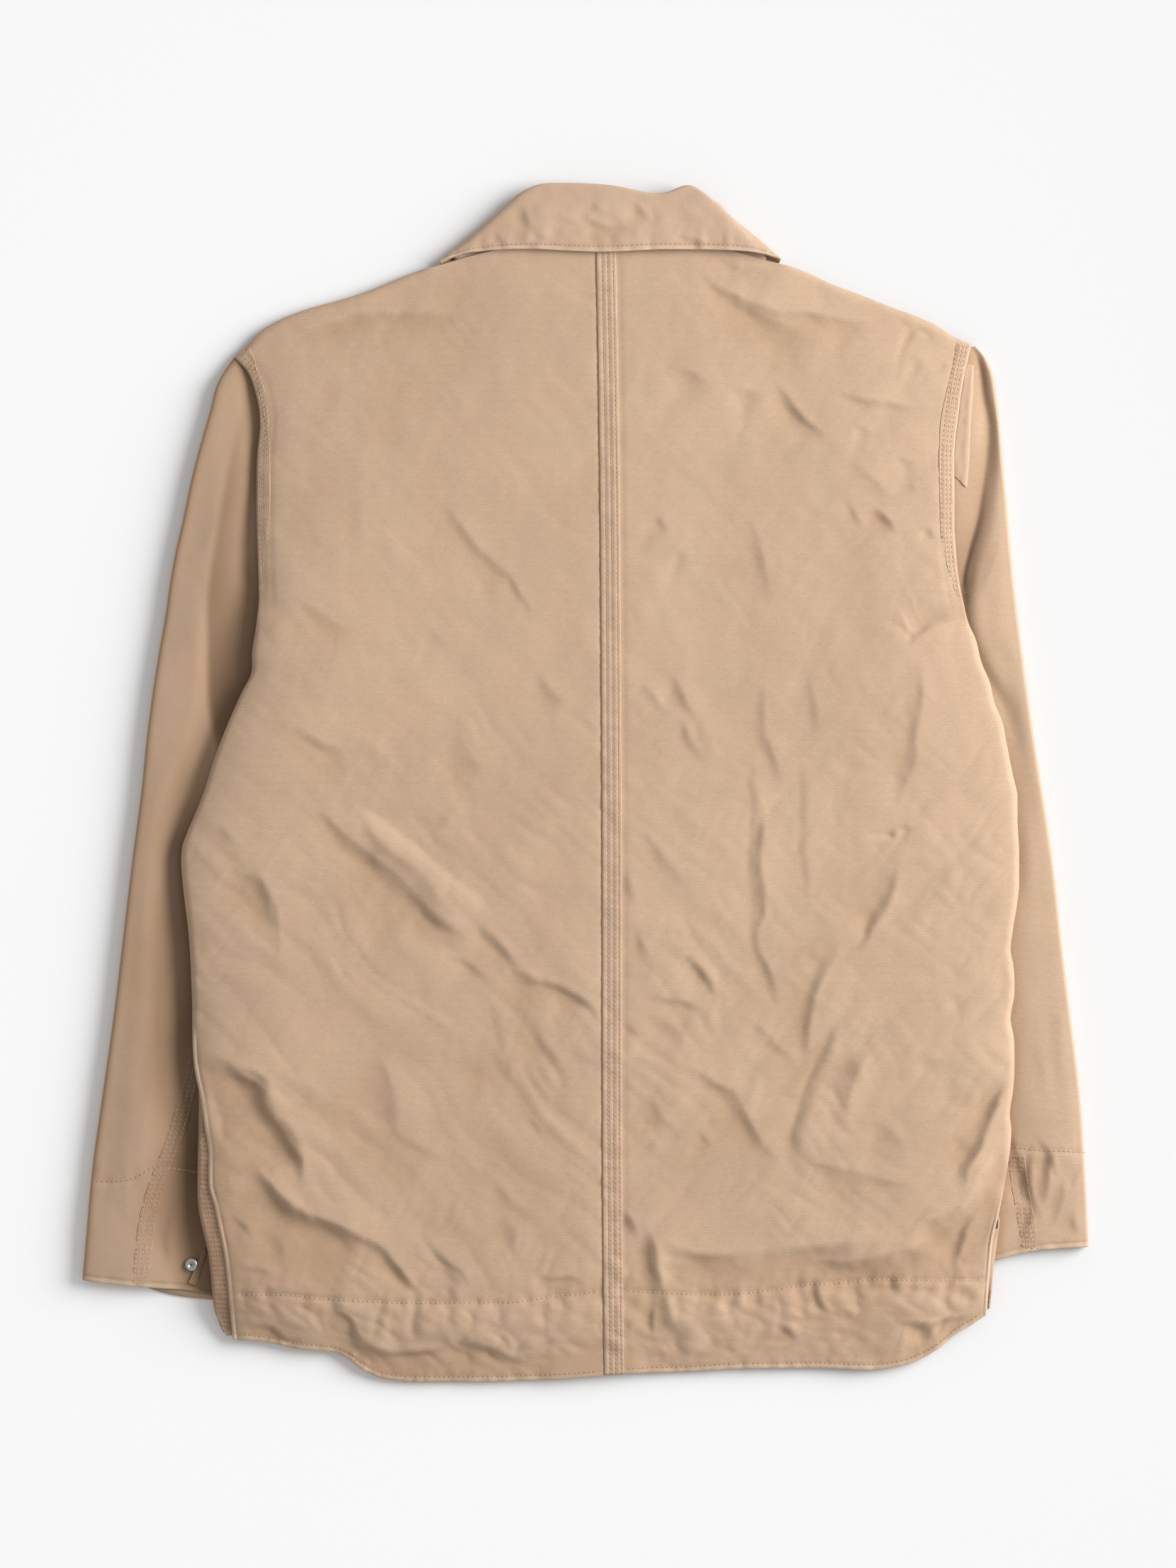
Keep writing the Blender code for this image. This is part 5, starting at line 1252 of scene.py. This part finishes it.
def body_shade(side, x, y):
    """Painted shade: how much light is left, at most 1, in the hollow between a sleeve and the body."""
    line = np.where(y < SIDE_SEAM_TOP[side], OUTLINE[side](y), EDGE[side](y))
    away = np.maximum((x - line) * side, 0)
    power = 1.2 + 1.3 * smooth((-120 - y) / 60)
    left = 1 - SHADE[side](y) * np.exp(-(away / SHADE_REACH[side](y)) ** power)
    if side == LEFT:
        left = left * (1 - FOLD_SHADE(y) * smooth((x - FOLD_LINE(y) + 1) / 6))
        left = left * (1 - HOLLOW_SHADE(y) * bell(x - HOLLOW_LINE(y), 6))
    else:
        off = x - GROOVE_LINE(y)
        groove = bell(off, 2.8)
        soft = 0.42 * bell(off, 9) * (off < 0)
        left = left * (1 - (y > 85) * GROOVE_SHADE(y) * np.maximum(groove, soft))
    return left


def sleeve_marks(side, x, y):
    """Creases of the sleeve, and the cuff's stitched line with its puckers."""
    line = spline(CUFF_LINE[side])(x)
    off = y - line
    marks = relief(x, y, SLEEVE_CREASES[side], 60 + side)
    marks -= 0.4 * bell(off, 1.5)
    marks += 0.35 * noise(x / 4.5, off / 12, 61) * np.exp(-np.abs(off) / 6)
    marks += 0.3 * smooth(-off / 3)
    marks += 0.22 * noise(x / 17, y / 48, 62 + side) + 0.12 * noise(x / 9, y / 16, 64 + side)
    return marks


def make_sleeve(side):
    word = WORD[side]
    first, last = SLEEVE[side][0][0], SLEEVE[side][-1][0]
    nominal = shares(last - first, HEM_STEPS, (0, 0.6, 1.4), (last - first) / SLEEVE_ROWS)
    nominal = first + nominal * (last - first)
    count = len(nominal)
    knots, roll = sleeve_section(side, nominal)
    knot_shares = (0, 0.07, 0.25, 0.38, 0.48, 0.6, 1)
    shown = np.linspace(0, 1, SLEEVE_SHOWN)
    hidden = np.linspace(0, 1, SLEEVE_HIDDEN + 1)[1:]
    x = np.empty((count, SLEEVE_SHOWN + SLEEVE_HIDDEN))
    height, share = np.empty_like(x), np.empty_like(x)
    for row in range(count):
        keys = [(knot[0][row] - knots[0][0][row]) * -side for knot in knots]
        for k in range(1, len(keys)):
            keys[k] = max(keys[k], keys[k - 1] + 0.3)
        edge_x = knots[0][0][row]
        body_in = (edge_x - float(EDGE[side](nominal[row]))) * side + 16
        reach = min(max(body_in, keys[-1] * 0.3), keys[-1] * 0.85)
        away = np.concatenate([shown * reach, between(reach, keys[-1], hidden)])
        x[row] = edge_x - side * away
        height[row] = softened(spline(list(zip(keys, [knot[1][row] for knot in knots]))), away)
        share[row] = np.interp(away, keys, knot_shares)
    y = nominal[:, None] + cuff_shift(side, "upper", share, nominal[:, None])
    marks = sleeve_marks(side, x, y) * smooth((height - 1.8) / 2.0)
    from_cuff = apart(np.stack([x, y], axis=2), np.stack([x, y], axis=2)[:1])
    marks = marks + 0.4 * noise(x / 3.2, from_cuff / 9, 66) * bell(from_cuff, 6)
    marks = marks - 0.5 * bell(from_cuff - 2.8, 0.8)
    marks = marks + 0.35 * bell(from_cuff, 1.3)
    height = height + marks - 0.5 * quarter(from_cuff, 1.4)
    in_body = inside(side, x, y)
    lid = np.where(y > UNDERARM + 12, back_base(x, y), front_height(x, y, side))
    height = between(height, np.minimum(height, lid - LAYER - SLACK), smooth(in_body / 2))
    grid = np.stack([x, y, height], axis=2)
    edge_line = grid[:, 0]
    low_roll = np.minimum(ROLL_MEETING, edge_line[:, 2] - 1.0)
    turns = turned(edge_line, (side, 0, 0), roll, edge_line[:, 2] - low_roll - TURN_GAP)
    grid = np.concatenate([np.stack(turns[::-1], axis=1), grid], axis=1)
    fine = np.pad(marks, ((0, 0), (TURN_STEPS, 0)), mode="edge")
    wear = np.pad(worn(from_cuff, 1.3, 0.5), ((0, 0), (TURN_STEPS, 0)), mode="edge")
    made_of = "duck_%s_sleeve" % word
    # Painted shade in the sleeve's valleys and beside the body, and painted light on its ridges
    tone = hollow_tone(fine, 0.04) * body_shade(side, grid[:, :, 0], grid[:, :, 1])
    # Painted shade along the left sleeve's outer roll
    if side == LEFT:
        from_outer = grid[:, :, 0] - edge_line[:, :1]
        tone = tone * (1 - 0.2 * bell(from_outer, 2.0))
    cloth_piece("sleeve_%s_upper" % word, grid, made_of, *PANEL_CUT["upper"],
                ["sleeve_%s_under" % word], fine=fine, tone=tone, wear=wear)

    rows, columns = UNDER_ROWS, UNDER_COLUMNS
    nominal = np.linspace(first, last, rows)
    knots, roll = sleeve_section(side, nominal)
    grid = np.empty((rows, columns, 3))
    for c, u in enumerate(np.linspace(0, 1, columns)):
        grid[:, c, 0] = between(knots[0][0], knots[-1][0], u)
        grid[:, c, 1] = nominal + cuff_shift(side, "under", u, nominal)
    above = surface_height("sleeve_%s_upper" % word)(grid[:, :, 0].ravel(), grid[:, :, 1].ravel())
    room = np.maximum(np.reshape(above, (rows, columns)) - FLOOR_LAYER - 2 * LAYER, 0)
    folds = np.abs(relief(grid[:, :, 0], grid[:, :, 1], UNDER_CREASES[side], 84))
    at_edge = smooth(np.minimum(np.arange(columns), np.arange(columns)[::-1]) / 6)
    folds = np.minimum(folds, FOLD_ROOM * room) * at_edge
    grid[:, :, 2] = FLOOR_LAYER + folds
    low_roll = np.minimum(ROLL_MEETING, knots[0][1] - 1.0)
    turns = turned(grid[:, 0], (side, 0, 0), roll, FLOOR_LAYER - low_roll + TURN_GAP)
    grid = np.concatenate([np.stack(turns[::-1], axis=1), grid], axis=1)
    # Painted shade darkens the under panel's hidden folds by their height
    tone = hollow_tone(-np.pad(folds, ((0, 0), (TURN_STEPS, 0))), HIDDEN_SHADE)
    cloth_piece("sleeve_%s_under" % word, grid, made_of, *PANEL_CUT["under"], ["floor"], step=1,
                tone=tone)


def make_collar():
    stations = np.reshape(COLLAR, (-1, 3, 3))
    steps = np.arange(len(stations))
    fine = np.linspace(0, steps[-1], COLLAR_STEPS * steps[-1] + 1)
    curves = np.empty((len(fine), 3, 3))
    for line in range(3):
        for axis in range(3):
            curves[:, line, axis] = spline(list(zip(steps, stations[:, line, axis])))(fine)
    rim, edge, seam = curves[:, 0], curves[:, 1], curves[:, 2]
    around = np.gradient(rim, axis=0)
    up = rim - (edge + seam) / 2
    up /= np.linalg.norm(up, axis=1, keepdims=True)
    out = np.cross(around, up)
    out /= np.linalg.norm(out, axis=1, keepdims=True)
    inner_top, outer_top = rim - out * COLLAR_FOLD, rim + out * COLLAR_FOLD
    lines = [between(seam, inner_top, t) for t in np.linspace(0, 1, 9)]
    for degrees in np.linspace(180, 0, 11)[1:-1]:
        angle = math.radians(degrees)
        lines.append(rim + (out * math.cos(angle) + up * math.sin(angle)) * COLLAR_FOLD)
    lines += [between(outer_top, edge, t) for t in np.linspace(0, 1, 46)]
    grid = np.stack(lines, axis=1)
    x, y = grid[:, :, 0], grid[:, :, 1]
    column = np.arange(grid.shape[1])
    fall = smooth((column - 16) / 4)[None, :] * smooth((fine - 3.5) / 1.5)[:, None]
    fall = fall * smooth((13.5 - fine) / 1.5)[:, None]
    from_edge = np.linalg.norm(grid - edge[:, None, :], axis=2)
    marks = relief(x, y, COLLAR_CREASES, 70)
    marks += 0.3 * noise(x / 16, y / 14, 71) + 0.16 * noise(x / 7, y / 7, 72)
    marks -= 0.4 * bell(from_edge - COLLAR_ROW, 0.8)
    marks += 0.3 * bell(from_edge, 1.8)
    marks += 0.5 * noise(x / 4.2, from_edge / 12, 73) * bell(from_edge - 4, 8)
    marks = marks * fall
    normal = normals(grid.transpose(1, 0, 2)).transpose(1, 0, 2)
    outward = np.sign(normal[len(fine) // 2, -8, 2])
    grid = grid + normal * outward * marks[:, :, None]
    tone = hollow_tone(marks, 0.05)
    wear = worn(from_edge, 1.5, 0.6)
    rows, columns = grid.shape[:2]
    faces = quads(np.arange(rows * columns).reshape(rows, columns)).tolist()
    item = add_mesh("collar", grid.reshape(-1, 3), faces, MATERIALS["duck_collar"], tone.ravel(),
                    wear.ravel())
    wall = item.modifiers.new("wall", "SOLIDIFY")
    wall.thickness = COLLAR_CLOTH * MM
    wall.offset = 0
    stands_for(item, "collar", "duck", *PANEL_CUT["collar"], ["back_left", "back_right"])
    mid = (fine > 3.4) & (fine < 13.4)
    inward = (rim - edge) / np.linalg.norm(rim - edge, axis=1, keepdims=True)
    line = (edge + inward * COLLAR_ROW)[mid][:, :2]
    bed = surface_height("collar")
    stitches("collar_stitches", [(line, lambda x, y: bed(x, y) + COLLAR_CLOTH / 2)])


def strip(name, first, second, across, along, rows_at, bed, seed, lift=0.75, cloth=SEAM_CLOTH,
          wear=0.10, shade=None, rim_wear=0.4, sunk=0.5, dimple=0.2,
          rests_on=("back_left", "back_right")):
    """A felled strip between two lines in plan, over a surface: soft ridges between its rows of
    stitches, and fine puckers. It returns a function that gives its rows as lines."""
    first, second = (resampled(line, along) for line in (first, second))
    t = np.linspace(0, 1, across)[None, :, None]
    plan = between(first[:, None], second[:, None], t)
    place = apart(plan, plan[:, :1])
    width = place[:, -1:]
    far = np.concatenate([[0], np.cumsum(np.linalg.norm(np.diff(first, axis=0), axis=1))])[:, None]
    marks = 0 * place
    for row in rows_at:
        marks -= (0.32 + dimple * np.cos(math.tau * far / STITCH)) * bell(place - row, 0.8)
    marks += 0.17 * noise(far / 2.3, place / 6, seed) + 0.10 * noise(far / 8, place / 5, seed + 1)
    rim = np.minimum(place, width - place)
    marks -= sunk * bell(rim, 0.6)
    x, y = plan[:, :, 0], plan[:, :, 1]
    height = bed(x, y) + lift + marks
    grid = raised(plan, height)
    wear = wear + worn(rim, 0.7, rim_wear)
    # Painted shade: the given shade, darker in the dips of the marks and paler on their rises
    tone = (shade(x, y) if shade else 1) * (1 + 0.22 * np.clip(marks, -0.6, 0.4))
    cloth_piece(name, grid, "duck_seam", SEAM_CUT[name], None, rests_on, thickness=cloth,
                tone=tone, wear=wear, step=2)

    def row_line(row):
        share = np.minimum(row / np.maximum(width, 0.1), 1)
        line = between(first, second, share)
        return line[width[:, 0] > row + 0.8]

    return row_line


def resampled(line, count):
    line = np.array(line, float)
    along = np.concatenate([[0], np.cumsum(np.hypot(*np.diff(line, axis=0).T))])
    places = np.linspace(0, along[-1], count)
    return np.stack([np.interp(places, along, line[:, 0]), np.interp(places, along, line[:, 1])],
                    axis=1)


def stitches(name, lines, made_of="thread"):
    """Rows of stitches, with a dark disc of painted shade at the needle hole where each starts. Each
    line is points in plan and a function that gives the height there.
    """
    ring = 5
    points, faces, hole_points, hole_faces = [], [], [], []
    for line, height in lines:
        line = np.array(line, float)
        legs = np.hypot(*np.diff(line, axis=0).T)
        along = np.concatenate(([0], np.cumsum(legs)))
        count = int(along[-1] / STITCH)
        if count < 1:
            continue
        starts = (np.arange(count) + 0.5) * along[-1] / count - STITCH_LENGTH / 2
        places = starts[:, None] + np.array([-0.15, 0.12, 0.5, 0.88, 1.15]) * STITCH_LENGTH
        x, y = np.interp(places, along, line[:, 0]), np.interp(places, along, line[:, 1])
        z = height(x, y) + np.array([-0.30, 0.05, 0.12, 0.05, -0.30])
        for i in range(count):
            core = np.stack([x[i], y[i], z[i]], axis=1)
            way = core[-1] - core[0]
            way /= np.linalg.norm(way)
            side = np.cross(way, (0, 0, 1))
            side /= np.linalg.norm(side)
            up = np.cross(side, way)
            start = len(points)
            for k, p in enumerate(core):
                r = THREAD * (0.6 if k in (0, 4) else 1.0)
                for a in range(ring):
                    angle = 2 * math.pi * a / ring
                    points.append(p + (side * math.cos(angle) + up * math.sin(angle)) * r)
            for k in range(4):
                for a in range(ring):
                    b = (a + 1) % ring
                    faces.append((start + k * ring + a, start + k * ring + b,
                                  start + (k + 1) * ring + b, start + (k + 1) * ring + a))
            faces.append(tuple(start + a for a in range(ring))[::-1])
            faces.append(tuple(start + 4 * ring + a for a in range(ring)))
            first = len(hole_points)
            centre = core[0] + (0, 0, HOLE_RISE)
            for a in range(6):
                angle = math.pi * a / 3
                spoke = np.array((math.cos(angle), math.sin(angle), 0))
                hole_points.append(centre + HOLE_RADIUS * spoke)
            hole_faces.append(tuple(range(first, first + 6)))
    thread = add_mesh(name, points, faces, MATERIALS[made_of])
    holes = add_mesh(name + "_holes", hole_points, hole_faces, MATERIALS["hole"])


def y_line(x_at, low, high, step=1.5):
    y = np.append(np.arange(low, high, step), high)
    return np.stack([x_at(y) + 0 * y, y], axis=1)


def make_centre_seam():
    low, high = float(HEM_LINE(12)) + 1.0, 349.0
    first = y_line(lambda y: CENTRE_SEAM(y) + 0.2, low, high)
    second = y_line(lambda y: CENTRE_SEAM(y) + CENTRE_SEAM_WIDTH, low, high)
    row_line = strip("centre_back_seam", first, second, 22, 800, CENTRE_ROWS,
                     surface_height("back_right"), 81, 0.35, 0.6, rim_wear=0.1, sunk=0.3)
    top = surface_height("centre_back_seam")
    stitches("centre_stitches", [(row_line(row), top) for row in CENTRE_ROWS])


def make_armhole_seams():
    for side in (LEFT, RIGHT):
        word = WORD[side]
        low = ARMHOLE_IN[side][-1][1]
        tip = (BACK_TOP[0] if side == LEFT else BACK_TOP[-1])[1] - 1.0
        outer = y_line(lambda y: EDGE[side](y) - side * (EDGE_IN + 0.1), low, tip)
        inner = rounded(ARMHOLE_IN[side][::-1], 2.0)
        rows_at = ARMHOLE_ROWS[side]
        row_line = strip("armhole_seam_" + word, outer, inner, 16, 210, rows_at,
                         surface_height("back_" + word), 84 + side, 0.08, 0.3, 0.02, None, 0.0,
                         0.05, rests_on=["back_" + word])
        top = surface_height("armhole_seam_" + word)
        stitches("armhole_stitches_" + word, [(row_line(row), top) for row in rows_at])


def surface_height(item_name):
    """Function that gives the height of a made piece's upper side at places in plan."""
    if item_name not in TREES:
        mesh = MADE[item_name].data
        points = [vertex.co / MM for vertex in mesh.vertices]
        TREES[item_name] = BVHTree.FromPolygons(
            points, [tuple(face.vertices) for face in mesh.polygons])
    tree = TREES[item_name]

    def at(x, y):
        x, y = np.broadcast_arrays(np.asarray(x, float), np.asarray(y, float))
        heights = np.empty(x.size)
        for k, (px, py) in enumerate(zip(x.ravel(), y.ravel())):
            hit = tree.ray_cast(Vector((px, py, RAY_FROM)), Vector((0, 0, -1)))[0]
            if hit is None:
                hit = tree.find_nearest(Vector((px, py, heights[k - 1] if k else 12.0)))[0]
            heights[k] = hit.z
        return heights.reshape(x.shape)

    return at


def make_sleeve_details():
    for side in (LEFT, RIGHT):
        word = WORD[side]
        upper = surface_height("sleeve_%s_upper" % word)
        middle = spline(SLEEVE_SEAM[side])
        low = SLEEVE_SEAM[side][0][0] - (6.6 if side == LEFT else 3.6)
        high = SLEEVE_SEAM[side][-1][0] + (9 if side == LEFT else 0)
        half = SLEEVE_SEAM_WIDTH / 2
        # The sleeve seams carry the painted shade beside the body
        row_line = strip("sleeve_seam_" + word, y_line(lambda y: middle(y) - half, low, high),
                         y_line(lambda y: middle(y) + half, low, high), 16,
                         170 if side == LEFT else 80, SLEEVE_SEAM_ROWS, upper, 88, 0.0, 0.3, 0.0,
                         lambda x, y, side=side: body_shade(side, x, y) * SEAM_TONE[side],
                         0.0, 0.15, 0.42, ["sleeve_%s_upper" % word])
        top = surface_height("sleeve_seam_" + word)
        colour = "sleeve_thread" if side == LEFT else "thread"
        lines = [(row_line(row), top) for row in SLEEVE_SEAM_ROWS]
        stitches("sleeve_stitches_" + word, lines, colour)
        line = rounded(CUFF_LINE[side], 2.0)
        stitches("cuff_stitches_" + word, [(line, upper)], colour)


def make_hem_stitches():
    x = np.arange(-226, 258, 1.5)
    facing = np.stack([x, FACING(x)], axis=1)
    x = np.arange(-225, 256, 1.5)
    edge = np.stack([x, HEM_LINE(x) + 3.4], axis=1)
    parts = []
    for line in (facing, edge):
        for word, part in (("left", line[line[:, 0] < 9]), ("right", line[line[:, 0] > 26])):
            parts.append((part, surface_height("back_" + word)))
    stitches("facing_stitches", parts[:2], "pale_thread")
    stitches("hem_stitches", parts[2:])


def make_tab():
    upper = surface_height("sleeve_right_upper")
    right_edge = spline(((190, 247.5), (210, 249), (235, 250), (253, 251.5), (277, 252)))
    rows, columns = 70, 14
    grid = np.empty((rows, columns, 3))
    for r, t in enumerate(np.linspace(0, 1, rows)):
        low_left, low_right = between(199, 272, t), between(191, 271, t)
        x_left = float(EDGE[RIGHT](low_left)) + 0.2
        x_right = float(right_edge(low_right))
        for c, u in enumerate(np.linspace(0, 1, columns)):
            grid[r, c, :2] = between(x_left, x_right, u), between(low_left, low_right, u)
    bed = upper(grid[:, :, 0], grid[:, :, 1])
    u = np.linspace(0, 1, columns)[None, :]
    marks = -0.2 * bell((u - 1) * 10) + 0.12 * noise(grid[:, :, 1] / 5, u * 3, 95)
    marks = marks + 0.25 * bell((u - 0.75) * 5)
    grid[:, :, 2] = bed + between(-0.1, 0.3, np.linspace(0, 1, rows)[:, None] ** 0.3) + marks
    name = "armhole_tab_right"
    cloth_piece(name, grid, "duck_seam", SEAM_CUT[name], None, ["sleeve_right_upper"],
                thickness=0.5, step=2, tone=np.full((rows, columns), 1.03))


def make_vent():
    upper = surface_height("sleeve_left_upper")
    start, end = np.array((-247.0, -303.5)), np.array((-255.8, -326.0))
    rows, columns = 40, 12
    k = np.linspace(-1, 1, columns)[None, :, None]
    along = np.linspace(0, 1, rows)[:, None, None]
    across = np.array((0.92, -0.4)) * between(1.1, 2.6, along)
    plan = between(start, end, along) + across * k
    bed = upper(plan[:, :, 0], plan[:, :, 1])
    k, along = k[:, :, 0], along[:, :, 0]
    bulge = 0.3 * np.sqrt(1 - 0.9 * k * k) - 0.3 * bell(k - 0.4, 0.15)
    height = bed + between(0.9, 0.2, (k + 1) / 2) + bulge + 0.2 * noise(along * 6, k, 97)
    grid = raised(plan, height)
    # Painted shade beside the body; painted light on the flap's raised left side, painted shade towards
    # its right
    tone = body_shade(LEFT, plan[:, :, 0], plan[:, :, 1]) * (1.06 - 0.1 * k)
    cloth_piece("cuff_vent_left", grid, "duck_seam", *PANEL_CUT["vent"],
                ["sleeve_left_upper"], thickness=0.9, step=1, tone=tone,
                wear=0.3 * bell(np.abs(k) - 1, 0.2) + 0 * along)


def turned_piece(name, profile, place, made_of, steps=40):
    """A round piece: its profile, (radius, height), is turned round the axis."""
    points, faces = [], []
    for radius, height in profile:
        for k in range(steps):
            angle = 2 * math.pi * k / steps
            points.append((place[0] + radius * math.cos(angle), place[1] + radius * math.sin(angle),
                           place[2] + height))
    for row in range(len(profile) - 1):
        for k in range(steps):
            n = (k + 1) % steps
            faces.append((row * steps + k, (row + 1) * steps + k, (row + 1) * steps + n,
                          row * steps + n))
    faces.append(tuple(range(steps)))
    faces.append(tuple((len(profile) - 1) * steps + k for k in range(steps))[::-1])
    return add_mesh(name, points, faces, made_of)


def make_metal():
    low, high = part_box("cuff_button_left")
    centre = (low + high) / 2 / MM
    base = low.z / MM
    profile = ((0.3, 0.95), (1.3, 0.95), (1.55, 1.1), (1.9, 1.55), (2.4, 1.95), (3.0, 2.0),
               (3.6, 1.75), (4.1, 1.2), (4.3, 0.6), (4.2, 0.0), (0.3, 0.0))
    tack = turned_piece("cuff_button_left", profile, (centre.x, centre.y, base),
                        MATERIALS["metal"])
    stands_for(tack, "cuff_button_left", "metal")
    dot = turned_piece("cuff_button_centre", ((0.2, 1.25), (0.55, 1.2), (0.8, 1.0), (0.8, 0.9),
                                              (0.2, 0.9)),
                       (centre.x, centre.y, base), MATERIALS["metal_dark"], 20)
    r = BUTTON_RADIUS
    face = ((0.5, 2.5), (r * 0.5, 2.5), (r * 0.8, 2.2), (r * 0.95, 1.8), (r, 1.2), (r * 0.98, 0.6),
            (r * 0.9, 0.1), (r * 0.84, 0.0), (r * 0.6, 0.0), (r * 0.48, 0.15), (r * 0.42, 0.5),
            (0.5, 0.55))
    for index in range(1, 6):
        name = "front_button_%d" % index
        low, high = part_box(name)
        centre = (low + high) / 2 / MM
        button = turned_piece(name, face, (centre.x, centre.y, low.z / MM), MATERIALS["metal"])
        stands_for(button, name, "metal")


def make_stage():
    size, level = FLOOR_SIZE, FLOOR_AT
    corners = [(-size, -size, level), (size, -size, level), (size, size, level), (-size, size, level)]
    mesh = bpy.data.meshes.new("floor")
    mesh.from_pydata([[v * MM for v in p] for p in corners], [], [(0, 1, 2, 3)])
    mesh.materials.append(floor_material())
    floor = placed("floor", mesh)

    lamp = bpy.data.lights.new("key", "AREA")
    lamp.shape = "DISK"
    lamp.size = KEY_SIZE
    lamp.energy = KEY_POWER
    key = placed("key", lamp)
    key.location = KEY_AT
    key.rotation_euler = Vector(KEY_AT).to_track_quat("Z", "Y").to_euler()

    sky = bpy.data.worlds.new("sky")
    sky.use_nodes = True
    background = sky.node_tree.nodes["Background"]
    background.inputs["Color"].default_value = (1, 1, 1, 1)
    background.inputs["Strength"].default_value = SKY_STRENGTH
    bpy.context.scene.world = sky

    lens = bpy.data.cameras.new("camera")
    lens.lens = LENS
    lens.sensor_width = 36
    lens.clip_end = 50
    camera = placed("camera", lens)
    camera.location = Vector(CAMERA_AT) * MM
    bpy.context.scene.camera = camera
    bpy.context.scene.view_settings.view_transform = "Standard"


def main():
    make_stage()
    for side in (LEFT, RIGHT):
        make_back(side)
        make_front(side)
        make_side_seam(side)
        make_sleeve(side)
    make_collar()
    make_centre_seam()
    make_armhole_seams()
    make_sleeve_details()
    make_hem_stitches()
    make_tab()
    make_vent()
    make_metal()


main()
